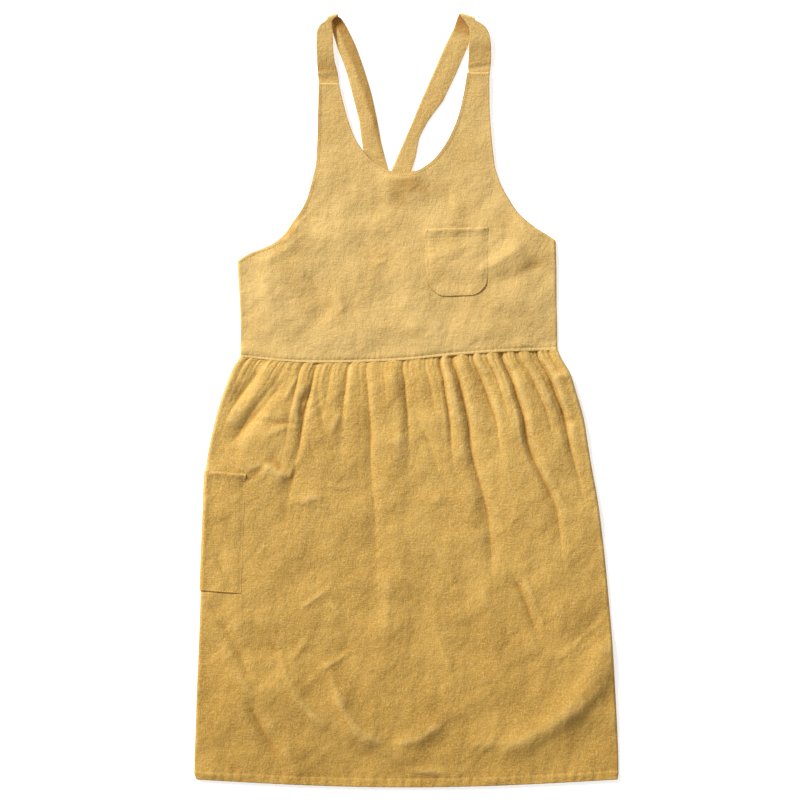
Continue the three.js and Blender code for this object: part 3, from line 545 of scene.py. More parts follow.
def threadMaterial(name, colour):
    material = bpy.data.materials.new(name)
    material.use_nodes = True
    nodes, links = material.node_tree.nodes, material.node_tree.links
    shader = nodes["Principled BSDF"]
    shader.inputs["Roughness"].default_value = 0.7
    shader.inputs["Sheen Weight"].default_value = 0.2
    place = nodes.new("ShaderNodeTexCoord")
    twist = nodes.new("ShaderNodeTexNoise")
    twist.inputs["Scale"].default_value = 900
    links.new(place.outputs["Object"], twist.inputs["Vector"])
    blend = nodes.new("ShaderNodeMix")
    blend.data_type = "RGBA"
    blend.inputs[6].default_value = (*[c * 0.85 for c in colour], 1)
    blend.inputs[7].default_value = (*colour, 1)
    links.new(twist.outputs["Fac"], blend.inputs[0])
    links.new(blend.outputs[2], shader.inputs["Base Color"])
    bump = nodes.new("ShaderNodeBump")
    bump.inputs["Distance"].default_value = 0.0001
    links.new(twist.outputs["Fac"], bump.inputs["Height"])
    links.new(bump.outputs["Normal"], shader.inputs["Normal"])
    return material


bibCloth = clothMaterial("mustardBibCloth", clothLook["bib"])
# the skirt's painted shade falls towards its hem between these heights
skirtCloth = clothMaterial("mustardSkirtCloth", clothLook["skirt"], paintedShadeDown=(-0.56, 0.08))
strapCloth = clothMaterial("mustardStrapCloth", clothLook["strap"])
thread = threadMaterial("mustardThread", clothLook["thread"])
print("finishes ready")


bib = {
    "columns": 240,  # a multiple of 6
    "bodyRows": 150,
    "tabRows": 78,
    "seamWander": 10.0,
    # painted shade along the cut edges
    "rimPaintedShade": 0.6,  # how much darker the cut edges are
    "rimWidths": (4.2, 2.0, 1.9),  # at the left armhole, the right one and the neckline
    # painted shade in spots: middle, half length, half width, turn, how dark
    "paintedShades": [
        (18, 241, 26, 10, -0.15, 0.6), (2, 221, 15, 9, -0.9, 0.4), (-153, 177, 14, 8, 0.86, 0.8),
        (-138, 150, 16, 9, 0.9, 0.22), (-128, 86, 32, 15, -0.8, 0.16), (184, 129, 30, 9, 0.38, 0.4),
        (-25, 140, 10, 3, 0.5, 0.3), (146, 189, 16, 7, -0.5, 0.22),
    ],
    "crinkle": 0.75,
    "waves": 1.5,
    "edgeFold": 0.4,  # how far the folded edge stands up
    "edgeStitch": 4.2,  # of the topstitching from the edge
    "neck": (-0.016, 0.671),
    # height up the side: left out, left up, right out, right up, how far the edge comes down
    "rungs": [
        (0.995, 0.0, 1.0, 0.025, 1), (0.995, 0.07, 0.998, 0.095, 1), (0.995, 0.145, 0.996, 0.167, 1),
        (1.0, 0.215, 0.994, 0.234, 1), (1.008, 0.287, 0.993, 0.33, 1), (1.013, 0.348, 0.989, 0.423, 1),
        (0.94, 0.375, 0.93, 0.446, 0.85), (0.817, 0.403, 0.862, 0.47, 0.7),
        (0.726, 0.439, 0.757, 0.521, 0.6), (0.662, 0.49, 0.695, 0.573, 0.55),
        (0.58, 0.569, 0.6435, 0.6275, 0.5), (0.527, 0.678, 0.61, 0.685, 0.5),
    ],
    "underarm": 5,  # the rung at the corner
    # armhole out, armhole up, neckline out, neckline up
    "leftTab": [
        (0.519, 0.7036, 0.085, 0.6855), (0.5155, 0.7326, 0.167, 0.7145), (0.513, 0.7653, 0.224, 0.7508),
        (0.51, 0.8088, 0.274, 0.7943), (0.508, 0.8668, 0.3186, 0.8632), (0.5055, 0.9285, 0.35, 0.9285),
        (0.503, 0.9956, 0.3772, 0.9956),
    ],
    "rightTab": [
        (0.6025, 0.7145, 0.106, 0.6746), (0.595, 0.7435, 0.214, 0.7145), (0.589, 0.776, 0.281, 0.7616),
        (0.582, 0.823, 0.329, 0.8088), (0.5747, 0.8886, 0.3775, 0.8777), (0.572, 0.961, 0.4103, 0.9575),
        (0.571, 1.0337, 0.4323, 1.0337),
    ],
    # course of the waist seam: share of the waist, rise as a share of seamWander
    "seam": [(0, 0), (0.17, -0.7), (0.38, -0.7), (0.52, -0.4), (0.65, 0.2), (0.79, 0.7), (1, 1.05)],
    # broad dents, as in the frame: from, to, size, rise
    "dents": [
        (-0.85, 0.33, -0.45, 0.08, 2.2, 0.11), (-0.3, 0.5, -0.05, 0.22, 2.0, -0.1),
        (0.75, 0.36, 0.6, 0.1, 2.2, 0.1), (-0.45, 0.7, -0.3, 0.5, 1.8, 0.07),
    ],
    # creases: three points, rise, width on the left and on the right of the way
    "creases": [
        (-164, 158, -150, 174, -134, 194, 2.2, 6, 20), (-191, 133, -163, 147, -132, 175, 1.0, 9, 9),
        (-197, 130, -180, 80, -149, 42, 1.7, 12, 16), (-140, 135, -112, 92, -84, 60, -1.8, 11, 24),
        (-144, 38, -110, 55, -82, 80, -0.6, 12, 12), (-96, 94, -85, 77, -74, 57, 0.8, 6, 4),
        (-51, 164, -41, 147, -34, 133, -0.7, 5, 5), (-34, 133, -24, 133, -15, 139, 0.7, 4, 5),
        (-218, 99, -202, 71, -183, 43, 0.8, 8, 6), (162, 203, 190, 155, 215, 122, 1.0, 7, 10),
        (134, 106, 172, 116, 212, 142, -1.9, 13, 15), (96, 114, 144, 136, 178, 166, 1.2, 9, 11),
        (71, 245, 79, 223, 86, 200, 0.7, 7, 7), (-34, 258, 4, 250, 36, 260, 2.4, 8, 24),
        (40, 133, 75, 147, 120, 164, 0.5, 7, 6), (-113, 290, -96, 253, -65, 211, 0.6, 9, 8),
        (-138, 220, -96, 186, -76, 133, 0.5, 12, 12), (149, 225, 170, 200, 178, 169, 0.7, 5, 7),
        (-82, 38, 2, 43, 100, 35, 0.5, 12, 10),
    ],
}


def seamY(x):
    share = np.clip((np.asarray(x, float) + halfWaist) / (2 * halfWaist), 0, 1)
    keys, rises = zip(*bib["seam"])
    return bib["seamWander"] * spline(keys, rises, share)


# Underside of the bib away from its edges, with its dents, creases and crinkles.
def bibUnder(x, y):
    neckHeight = bib["neck"][1] * bodiceHeight
    atNeck, atTab = garment["neckUnder"], garment["tabUnder"]
    low = mix(bibWaistUnder, atNeck, smooth((y / neckHeight - 0.35) / 0.65))
    high = mix(atNeck, atTab, smooth((y - neckHeight) / (bodiceHeight - neckHeight)))
    under = np.where(y > neckHeight, high, low)
    for x1, y1, x2, y2, size, rise in bib["dents"]:
        line = [(x1 * halfWaist, y1 * bodiceHeight), (x2 * halfWaist, y2 * bodiceHeight)]
        near = np.exp(-(distanceTo(x, y, line) / (size * garment["fullness"])) ** 2)
        under = under + rise * garment["fullness"] * near * smooth(y / 24)
    calm = smooth((y - seamY(x)) / 14) * (1 - 0.55 * smooth((y - neckHeight + 30) / 60))
    detail = creaseField(x, y, bib["creases"]) + washedCloth(x, y, bib["crinkle"], 11, bib["waves"])
    return under + calm * detail


def tabEdge(tab, side):
    rows = np.array(tab)
    outer = np.column_stack([side * rows[:, 0] * halfWaist, rows[:, 1] * bodiceHeight])
    inner = np.column_stack([side * rows[:, 2] * halfWaist, rows[:, 3] * bodiceHeight])
    return outer, inner


# Curve through points by their running number, smooth but for a corner.
def through(points, at, corner=None):
    points = np.asarray(points, float)
    keys = np.arange(len(points), dtype=float)
    if corner is None:
        return np.stack([spline(keys, points[:, k], at) for k in range(points.shape[1])], axis=-1)
    low = through(points[: corner + 1], np.minimum(at, corner))
    high = through(points[corner:], np.maximum(at - corner, 0))
    return np.where((np.asarray(at) <= corner)[..., None], low, high)


def bibEdges():
    rungs = np.array(bib["rungs"])
    leftOuter, leftInner = tabEdge(bib["leftTab"], -1)
    rightOuter, rightInner = tabEdge(bib["rightTab"], 1)
    left = np.vstack([np.column_stack([-rungs[:, 0] * halfWaist, rungs[:, 1] * bodiceHeight]), leftOuter])
    right = np.vstack([np.column_stack([rungs[:, 2] * halfWaist, rungs[:, 3] * bodiceHeight]), rightOuter])
    neck = np.array([[bib["neck"][0] * halfWaist, bib["neck"][1] * bodiceHeight]])
    return left, right, np.vstack([leftInner[::-1], neck, rightInner]), rungs


leftLine, rightLine, neckLine, bibRungs = bibEdges()
neckAt = len(bib["leftTab"])
topRung = len(bib["rungs"]) - 1
neckCurve = through(neckLine, np.linspace(0, len(neckLine) - 1, 120))
armholes = [
    through(line, np.linspace(bib["underarm"], len(line) - 1, 70), bib["underarm"])
    for line in (leftLine, rightLine)
]


# Folded and stitched edge: a low roll at the edge and a groove at the stitching.
def edgeFold(distance):
    roll = bib["edgeFold"] * (1 - smooth((distance - 2.4) / 4))
    groove = -0.2 * np.exp(-((distance - bib["edgeStitch"]) / 0.9) ** 2)
    return roll + groove


def bibHeights(x, y, under, drop, distance, reach):
    low = mix(under, lapUnder, drop)
    base = mix(bibWaistUnder, garment["neckUnder"], smooth(y / 200))
    foot = lapUnder * (2 - smooth((y - 8) / 14)) + garment["sideFoot"]
    settled = under - mix((base - foot) * drop, 0, smooth(distance / mix(20, garment["sideSettle"], drop)))
    z = mix(low, settled, rollAt(distance, reach))
    lowest = lapUnder - 0.2
    z = lowest + (z - lowest + np.sqrt((z - lowest) ** 2 + 0.3)) / 2 + garment["clothWall"] / 2
    edge = np.minimum.reduce([distanceTo(x, y, line) for line in (*armholes, neckCurve)])
    return z + edgeFold(edge)


# Painted shade: how much darker the bib's cloth is drawn in its shaded spots and along its cut edges.
def bibPaintedShade(x, y):
    dark = np.zeros_like(x)
    for midX, midY, long, wide, turn, amount in bib["paintedShades"]:
        along = ((x - midX) * math.cos(turn) + (y - midY) * math.sin(turn)) / long
        across = ((y - midY) * math.cos(turn) - (x - midX) * math.sin(turn)) / wide
        dark = dark + amount * np.exp(-along ** 2 - across ** 2)
    for line, wide in zip((*armholes, neckCurve), bib["rimWidths"]):
        dark = dark + bib["rimPaintedShade"] * (1 - smooth(distanceTo(x, y, line) / wide))
    return np.clip(dark, 0, 0.85)


# Running numbers of rows so that they stand about evenly, and closer at the last edge.
def evenRows(heights, count, closeEnd):
    numbers = np.linspace(0, len(heights) - 1, 400)
    run = np.interp(numbers, np.arange(len(heights)), heights)
    run = np.maximum.accumulate(run + np.arange(400) * 1e-6)
    close = np.array(closeEnd)
    targets = np.linspace(run[0], run[-1] - close[0], count - len(close))
    targets = np.concatenate([targets, run[-1] - close[1:], [run[-1]]])
    return np.interp(targets, run, numbers)


def makeBib():
    bodyLeft, bodyRight = leftLine[: topRung + 1], rightLine[: topRung + 1]
    heights = (bodyLeft[:, 1] + bodyRight[:, 1]) / 2
    at = evenRows(heights, bib["bodyRows"], (7.0, 5.2, 4.2, 3.2, 2.2, 1.0))
    seamSteps = np.array([0, 0.7, 1.8, 2.8, 3.6, 4.4, 6.0]) / (heights[1] - heights[0])
    at = np.concatenate([seamSteps, at[at > seamSteps[-1] + 0.04]])
    left = through(leftLine, at, bib["underarm"])
    right = through(rightLine, at, bib["underarm"])
    columns = graded(garment["nominalWidth"], bib["columns"] + 1)
    s = np.broadcast_to(columns, (len(at), len(columns)))
    centred = 1 - np.abs(2 * s - 1)
    up = (left[:, 1] / bodiceHeight / bib["neck"][1])[:, None]
    neckX = bib["neck"][0] * halfWaist
    middle = ((left[:, 0] + right[:, 0]) / 2)[:, None]
    x = mix(left[:, :1], right[:, :1], s) + (neckX - middle) * centred * up
    straight = mix(seamY(left[:, 0])[:, None], seamY(right[:, 0])[:, None], s)
    y = mix(left[:, 1:], right[:, 1:], s) + (seamY(x) - straight) * (1 - smooth(up * 2.5))
    lastBlend = smooth((at - (topRung - 1)) / 1)[:, None]
    y = y + lastBlend * (mix(y, bib["neck"][1] * bodiceHeight, centred) - y)
    width = (right[:, 0] - left[:, 0])[:, None]
    distance = np.minimum(s, 1 - s) * width
    drop = np.interp(at, np.arange(topRung + 1), bibRungs[:, 4])[:, None]
    reach = mix(4 * garment["sideRoll"], garment["sideRoll"], smooth((drop - 0.6) / 0.4))
    z = bibHeights(x, y, bibUnder(x, y), drop, distance, reach)
    fromSeam = y - seamY(x)
    ridge = 0.75 * (1 - smooth((fromSeam - 1.9) / 1.2)) - 0.4 * np.exp(-((fromSeam - 3.5) / 0.9) ** 2)
    pucker = 0.22 * np.sin(x * 0.9 + 2 * np.sin(x * 0.13)) * np.exp(-((fromSeam - 6) / 5) ** 2)
    z = z + ridge + pucker - 0.9 * (1 - smooth(fromSeam / 9))
    body = {
        "at": np.stack([x, y, z], -1), "flat": np.stack([x, y], -1), "wall": garment["cloth"],
        "shade": bibPaintedShade(x, y),
    }
    patches = [body]
    middleColumn = len(columns) // 2
    patches.append(tabPatch(-1, bib["leftTab"], body["at"][-1, : middleColumn + 1]))
    patches.append(tabPatch(1, bib["rightTab"], body["at"][-1, middleColumn:][::-1]))
    return sewCloth("bibFrontCloth", patches, bibCloth)


# One shoulder tab from the row at the neckline's lowest point to the strap seam.
def tabPatch(side, tab, firstRow):
    line = leftLine if side < 0 else rightLine
    neck = neckLine[: neckAt + 1][::-1] if side < 0 else neckLine[neckAt:]
    close = np.array([0, 0.03, 0.07, 0.12, 0.18, 0.25])
    numbers = np.concatenate([close[1:], np.linspace(0.33, len(tab), bib["tabRows"])])
    outer = through(line, topRung + numbers, bib["underarm"])
    beyond = neckLine[neckAt - side]  # the neckline's next point on the other tab
    inner = through(np.vstack([beyond[None, :], neck]), numbers + 1)
    s = (firstRow[:, 0] - firstRow[0, 0]) / (firstRow[-1, 0] - firstRow[0, 0])
    width = np.hypot(*(inner - outer).T)[:, None]
    rows = []
    for number, wide in zip(numbers, width[:, 0]):
        own = graded(wide, len(firstRow), np.array(edgeSteps) * min(1, wide / 60))
        rows.append(mix(s, own, smooth(number / 0.8)))
    share = np.array(rows)
    x = mix(outer[:, :1], inner[:, :1], share)
    y = mix(outer[:, 1:], inner[:, 1:], share)
    drop = mix(0.5, 0.1, np.clip(numbers / len(tab), 0, 1))[:, None]
    z = bibHeights(x, y, bibUnder(x, y), drop, share * width, 4 * garment["sideRoll"])
    first = firstRow[None, :, :]
    # the tab's top is folded under and sewn down over the strap
    fromTop = (outer[-1, 1] - outer[:, 1])[:, None]
    z = z + 0.45 * np.exp(-((fromTop - 1.2) / 1.3) ** 2) + 0.4 * np.exp(-((fromTop - 5.6) / 1.5) ** 2)
    at = np.concatenate([first, np.stack([x, y, z], -1)])
    flat = at[:, :, :2].copy()
    if side > 0:
        at, flat = at[:, ::-1], flat[:, ::-1]
    return {"at": at, "flat": flat, "wall": garment["cloth"], "shade": bibPaintedShade(at[:, :, 0], at[:, :, 1])}


bibFront = makeBib()
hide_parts("bib_front")


backPanelCut = {
    "rows": 56,
    "columns": 110,
    "dip": 50.0,  # how far its top edge sinks in the middle
    "edge": 2.4,  # width of the turned top edge
    "edgeRise": 0.15,
    "cloth": 1.2,
}


def makeBackPanel():
    rungs = bib["rungs"][: bib["underarm"] + 1]
    at = np.linspace(0, bib["underarm"], backPanelCut["rows"])
    left, right = through(leftLine[: len(rungs)], at), through(rightLine[: len(rungs)], at)
    columns = graded(garment["nominalWidth"], backPanelCut["columns"])
    s = np.broadcast_to(columns, (len(at), len(columns)))
    x = mix(left[:, :1], right[:, :1], s)
    up = (at / bib["underarm"])[:, None]
    y = mix(left[:, 1:], right[:, 1:], s) - backPanelCut["dip"] * np.sin(math.pi * s) * up
    straight = mix(seamY(left[:, 0])[:, None], seamY(right[:, 0])[:, None], s)
    y = y + (seamY(x) - straight) * (1 - smooth(up * 4))
    fromTop = (left[-1, 1] - left[:, 1])[:, None]
    turned = backPanelCut["edgeRise"] * (1 - smooth((fromTop - backPanelCut["edge"]) / 2))
    at = np.stack([x, y, garment["clothWall"] / 2 + turned + 0 * x], -1)
    patch = {"at": at, "flat": at[:, :, :2].copy(), "wall": backPanelCut["cloth"]}
    return sewCloth("backPanelCloth", [patch], bibCloth)


backPanel = makeBackPanel()
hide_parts("back_panel")


skirt = {
    "columns": 331,
    "rows": 238,
    "crinkle": 0.95,
    "backColumns": 150,
    "backRows": 104,
    "nominalWidth": 540.0,  # that the columns are spread over
    "hemWidth": 595.0,
    "lap": 6.0,  # tucked inside the bodice
    "lapInset": 2.7,
    "hem": 11.0,
    "hemCloth": 1.8,  # thickness of the turned hem, in front and behind
    "backHemCloth": 1.6,
    "flatWidths": (620.0, 610.0),  # of the front and of the back, before gathering
    "ripples": 7,  # gathers of the back
    "rippleHeight": 1.5,
    "hemFold": 0.5,
    # how far down, the left side's flare, the right side's flare
    "sides": [
        (0, 0, 0), (0.02, 0.13, 0.06), (0.05, 0.25, 0.19), (0.1, 0.42, 0.31), (0.16, 0.57, 0.43),
        (0.22, 0.69, 0.5), (0.28, 0.76, 0.57), (0.35, 0.785, 0.66), (0.45, 0.825, 0.75), (0.58, 0.87, 0.84),
        (0.7, 0.91, 0.91), (0.8, 0.95, 0.95), (0.9, 0.98, 0.985), (0.97, 1, 1), (0.988, 0.995, 0.997),
        (1, 0.96, 0.985),
    ],
    # hollows between the gathers: at the waist, at the hip, below, depth, reach, height of the crest before
    "hollows": [
        (0.0765, 0.025, 0.03, 0.7, 0.2, 0.85), (0.152, 0.075, 0.075, 0.8, 0.26, 0.95),
        (0.203, 0.198, 0.15, 0.5, 0.14, 0.85), (0.247, 0.238, 0.205, 1, 0.38, 1),
        (0.295, 0.294, 0.28, 0.5, 0.14, 0.9), (0.345, 0.344, 0.35, 0.6, 0.17, 0.9),
        (0.404, 0.426, 0.4345, 0.7, 0.6, 1), (0.456, 0.4726, 0.49, 0.45, 0.1, 0.9),
        (0.5155, 0.526, 0.54, 0.75, 0.2, 1), (0.585, 0.609, 0.61, 0.5, 0.14, 0.9),
        (0.63, 0.6395, 0.66, 0.8, 0.24, 0.8), (0.672, 0.69, 0.719, 1, 0.5, 1),
        (0.731, 0.765, 0.785, 0.6, 0.22, 0.9), (0.778, 0.8, 0.835, 0.5, 0.14, 0.85),
        (0.823, 0.84, 0.895, 1, 0.46, 1), (0.8766, 0.908, 0.935, 0.6, 0.2, 0.9),
        (0.9336, 0.9506, 0.97, 0.9, 0.3, 0.8),
    ],
    "hip": 0.18,
    "thigh": 0.4,
    "puff": [
        (0, 0.2), (0.004, 0.34), (0.012, 0.46), (0.03, 0.62), (0.055, 0.74), (0.1, 0.8), (0.15, 0.74),
        (0.22, 0.6), (0.3, 0.5), (0.45, 0.38), (0.6, 0.28), (1, 0.06),
    ],
    # broad soft folds as in the frame: three points in shares, size, rise
    "softFolds": [
        (0.98, 0.7, 0.9, 0.86, 0.74, 0.92, 1.9, 0.42), (0.02, 0.58, 0.12, 0.74, 0.24, 0.96, 1.8, 0.3),
        (0.2, 0.78, 0.33, 0.88, 0.5, 0.93, 1.7, 0.28), (0.48, 0.2, 0.5, 0.45, 0.46, 0.7, 2.4, 0.22),
        (0.66, 0.35, 0.74, 0.6, 0.7, 0.78, 2.2, 0.2),
    ],
    "smallGathers": 88,
    "gatherSeed": 8,
    "hemUnder": 2.45,  # the front lies lower towards the hem
    # creases: three points, rise, width on the left and on the right of the way
    "creases": [
        (-272, -330, -226, -412, -196, -480, -2.4, 20, 8),
        (-214, -470, -190, -526, -160, -576, -1.9, 14, 7), (-262, -274, -246, -297, -229, -322, -1.1, 9, 4),
        (-252, -322, -216, -400, -190, -455, 1.1, 14, 16), (-170, -400, -140, -478, -93, -519, 1.6, 14, 9),
        (-98, -430, -62, -516, -4, -541, 3.6, 17, 11), (-14, -540, 30, -534, 70, -500, 2.2, 17, 11),
        (302, -392, 270, -474, 184, -528, 2.9, 17, 26), (200, -522, 149, -541, 90, -540, 1.5, 14, 20),
        (-211, -365, -183, -396, -163, -419, -0.9, 4, 6), (-142, -356, -117, -337, -88, -315, 0.9, 3, 4),
        (-110, -435, -90, -427, -62, -405, 1.0, 3, 4), (-97, -343, -89, -353, -78, -365, 0.9, 4, 3),
        (-155, -435, -138, -410, -124, -388, 0.8, 6, 5), (-191, -149, -173, -158, -151, -172, 2.0, 3.5, 20),
        (-153, -172, -148, -158, -138, -143, 1.3, 5, 4), (-214, -158, -201, -154, -188, -151, 0.8, 5, 3),
        (-99, -174, -88, -182, -65, -182, 1.0, 4, 3), (-138, -207, -121, -199, -102, -195, 0.9, 6, 4),
        (-191, -88, -160, -92, -131, -92, -1.3, 3, 7), (-186, -112, -160, -98, -135, -94, 0.9, 4, 7),
        (-107, -41, -111, -67, -99, -111, -1.5, 5, 7), (-97, -111, -88, -91, -75, -71, 1.1, 6, 7),
        (-125, -111, -120, -130, -114, -150, -0.6, 3, 3), (-136, -125, -141, -141, -142, -153, 0.9, 5, 4),
        (-191, -7, -209, -39, -241, -71, -2.2, 9, 12), (-158, -27, -191, -71, -255, -139, -2.6, 8, 14),
        (-134, -13, -150, -43, -160, -63, 1.2, 5, 4), (-130, -49, -136, -71, -134, -91, -1.6, 6, 5),
        (8, -46, 38, -113, 83, -223, -1.0, 9, 6), (8, -49, 2, -102, -1, -158, 0.9, 9, 9),
        (47, -367, 62, -410, 82, -463, 0.7, 6, 4), (159, -304, 178, -346, 200, -413, -1.6, 10, 5),
        (169, -298, 190, -343, 209, -396, 1.0, 5, 7), (218, -427, 247, -403, 295, -363, 0.7, 5, 4),
        (85, -225, 100, -235, 122, -244, -0.9, 3, 4), (188, -136, 220, -189, 257, -242, 0.7, 4, 6),
        (234, -90, 241, -88, 251, -87, -0.7, 3, 4), (159, -71, 170, -73, 187, -80, -0.5, 3, 3),
        (106, -105, 122, -108, 142, -118, -0.5, 3, 3), (9, -587, 41, -580, 82, -589, 1.6, 7, 6),
        (41, -234, 58, -273, 80, -318, 0.6, 4, 4), (220, -21, 229, -27, 239, -25, 1.4, 7, 5),
        (198, -21, 211, -38, 226, -49, -1.2, 5, 6), (-22, -284, -16, -354, -26, -424, 1.0, 16, 16),
        (205, -284, 220, -340, 226, -410, 1.1, 16, 14),
    ],
}
# The pocket round the left side fold. The skirt leaves room for the part behind it.
sidePocketCut = {
    "top": 0.268,  # of its mouth, as a share of the skirt's length
    "depth": 168.0,
    "front": 57.0,  # before the side fold and behind it
    "back": 72.0,
    "ease": 2.1,  # room beside the pocket
    "lift": 2.1,  # of the skirt over the part behind it
    "ramp": 20.0,
    "cloth": 1.1,
    "edge": 2.8,  # of the stitching from the edge
}
pocketSpan = sidePocketCut["depth"] / skirtLength


# Left and right ends of the skirt at a share of its length.
def skirtEnds(down, inset=0):
    keys, leftOut, rightOut = np.array(skirt["sides"]).T
    left = -0.995 * halfWaist - spline(keys, leftOut, down) * garment["flare"] * garment["leftFlare"]
    right = halfWaist + spline(keys, rightOut, down) * garment["flare"] * (1 - garment["leftFlare"])
    return left + inset, right - inset


def skirtY(down, share):
    seam = seamY(mix(-halfWaist, halfWaist, share)) * (1 - down)
    return seam - down * skirtLength - garment["hemBow"] * np.sin(math.pi * share) * down


# Rise of the left side where the side pocket passes under it.
def pocketRise(down, distance):
    def past(value, low, high):
        return np.maximum(np.maximum(low - value, value - high), 0)

    top, ease, ramp = sidePocketCut["top"], sidePocketCut["ease"], sidePocketCut["ramp"]
    share = ease / skirtLength
    along = past(down, top - share, top + pocketSpan + share) * skirtLength
    aside = past(distance, 0, sidePocketCut["back"] + ease)
    return sidePocketCut["lift"] * np.clip(1 - along / ramp, 0, 1) * np.clip(1 - aside / ramp, 0, 1)


def hollowAt(down):
    waist, hip, thigh = (np.array(skirt["hollows"])[:, k] for k in range(3))
    if down < skirt["hip"]:
        return mix(waist, hip, smooth(down / skirt["hip"]))
    return mix(hip, thigh, smooth((down - skirt["hip"]) / (skirt["thigh"] - skirt["hip"])))


# Height of the front's middle surface. down: one share for each row, share: rows x columns.
def skirtFrontHeights(down, share, x, y):
    hollows = np.array(skirt["hollows"])
    puffKeys, puffs = np.array(skirt["puff"]).T
    puff = np.interp(down, puffKeys, puffs)
    left, right = skirtEnds(down)
    distance = np.minimum(share, 1 - share) * (right - left)[:, None]
    rise = np.where(share < 0.5, pocketRise(down[:, None], 0 * share), 0)
    under = mix(skirtUnder, skirt["hemUnder"], smooth((down - 0.78) / 0.22))[:, None]
    atSide = np.minimum(lapUnder + garment["sideFoot"] + rise, under)
    under = mix(atSide, under, smooth(distance / garment["sideSettle"]))
    crest = under + garment["fullness"] * puff[:, None] + 0 * share
    shareX, shareY = share * skirt["hemWidth"], down[:, None] * skirtLength + 0 * share
    for x1, y1, x2, y2, x3, y3, size, rise in skirt["softFolds"]:
        t = np.linspace(0, 1, 9)[:, None]
        whole = np.array([skirt["hemWidth"], skirtLength])
        a, b, c = (np.array(spot) * whole for spot in ((x1, y1), (x2, y2), (x3, y3)))
        line = a * (1 - t) ** 2 + 2 * b * t * (1 - t) + c * t * t
        near = np.exp(-(distanceTo(shareX, shareY, line) / (size * garment["fullness"])) ** 2)
        crest = crest + rise * garment["fullness"] * near
    factor = np.ones_like(share)
    atWaist = np.empty_like(share)
    for r, v in enumerate(down):
        hollow = hollowAt(v)
        fade = 1 - smooth((v - 0.4 * hollows[:, 4]) / (0.95 * hollows[:, 4]))
        edges = np.concatenate([[0.0], hollow, [1.0]])
        middles = (edges[1:] + edges[:-1]) / 2
        crests = np.concatenate([mix(1, hollows[:, 5], fade), [1.0]])
        lows = 1 - hollows[:, 3] * fade * mix(0.4, 1.45, hollow)
        spots = np.empty(2 * len(hollow) + 1)
        spots[0::2], spots[1::2] = middles, hollow
        level = np.empty_like(spots)
        level[0::2], level[1::2] = crests, lows
        i = np.clip(np.searchsorted(spots, share[r]) - 1, 0, len(spots) - 2)
        t = np.clip((share[r] - spots[i]) / (spots[i + 1] - spots[i]), 0, 1)
        # from a crest the cloth sinks slowly into the hollow, then rises steeply on its right
        sinking = i % 2 == 0
        soft = float(smooth((v - 0.03) / 0.3))
        crestLine = 0.9 * t * np.exp(-t / 0.2) * (1 - t) * (1 - 0.8 * soft)
        shaped = np.where(sinking, t ** mix(1.35, 1.7, soft), 1 - (1 - t) ** mix(4, 2.0, soft) + crestLine)
        factor[r] = mix(level[i], level[i + 1], shaped)
        atWaist[r] = np.interp(share[r], edges, np.concatenate([[0.0], hollows[:, 0], [1.0]]))
    z = mix(under, crest, factor)
    z = z + smallGathers(down, atWaist)
    calm = smooth(down[:, None] * skirtLength / 30) * smooth((1 - down[:, None]) * skirtLength / 9)
    detail = creaseField(x, y, skirt["creases"]) + washedCloth(x, y, skirt["crinkle"], 5)
    z = z + calm * detail
    lowest = lapUnder + 0.3
    over = z - lowest
    return lowest + (over + np.sqrt(over ** 2 + 0.6)) / 2 + garment["clothWall"] / 2


# Narrow gathers that start at the seam. Most soon die out, some run far down and widen.
def smallGathers(down, atWaist):
    rng = np.random.default_rng(skirt["gatherSeed"])
    count = skirt["smallGathers"]
    lift = np.zeros_like(atWaist)
    for spot in (np.arange(count) + rng.uniform(-0.4, 1.4, count)) / count:
        far = rng.random() < 0.3
        depth = rng.uniform(1.1, 2.6) if far else rng.uniform(1.0, 3.0)
        wide = rng.uniform(2.6, 4.6) if far else rng.uniform(1.3, 2.8)
        reach = rng.uniform(0.13, 0.5) if far else rng.uniform(0.02, 0.11)
        lean = rng.uniform(-7, 7) if far else rng.uniform(-3, 3)
        run = down / reach
        depth = depth * (0.85 - 0.42 * math.exp(-((spot - 0.46) / 0.15) ** 2))
        row = smooth(down / 0.004) * np.clip(1 - run, 0, 1) ** 1.3
        off = (atWaist - spot) * 2 * halfWaist - (lean * run)[:, None]
        spread = wide * (1 + 1.4 * np.clip(run, 0, 1))[:, None] * np.where(off > 0, 0.34, 1.9)
        lift -= depth * row[:, None] * np.exp(-np.abs(off / spread) ** 1.15)
    return lift


def skirtRowsAt(count):
    waist = np.linspace(0, 60, int(count * 0.19), endpoint=False)
    hem = skirtLength - np.array([16, 13.8, 12.6, 11.6, 10.8, 9.8, 8.4, 6, 3, 1.2, 0])
    body = np.linspace(60, hem[0], int(count * 0.76), endpoint=False)
    return np.concatenate([waist, body, hem]) / skirtLength


# Adds the lap that is tucked inside the bodice, and sews the panel.
def sewSkirt(name, at, flat, wall, columns, lapHeights, lastStep):
    lapLeft, lapRight = skirtEnds(np.zeros(1), skirt["lapInset"])
    lapX = mix(lapLeft[0], lapRight[0], columns)
    lapDistance = np.minimum(columns, 1 - columns) * (lapRight[0] - lapLeft[0])
    lapZ = lapHeights(lapDistance)
    steps = (skirt["lap"], 3.0, lastStep)
    at = np.concatenate([np.array([np.stack([lapX, seamY(lapX) + step, lapZ], -1) for step in steps]), at])
    flat = np.concatenate([flat[:1] + np.array([0, step]) for step in steps] + [flat])
    wall = np.concatenate([wall[:1]] * 3 + [wall])
    patch = {"at": at[::-1], "flat": flat[::-1], "wall": wall[::-1]}
    return sewCloth(name, [patch], skirtCloth)


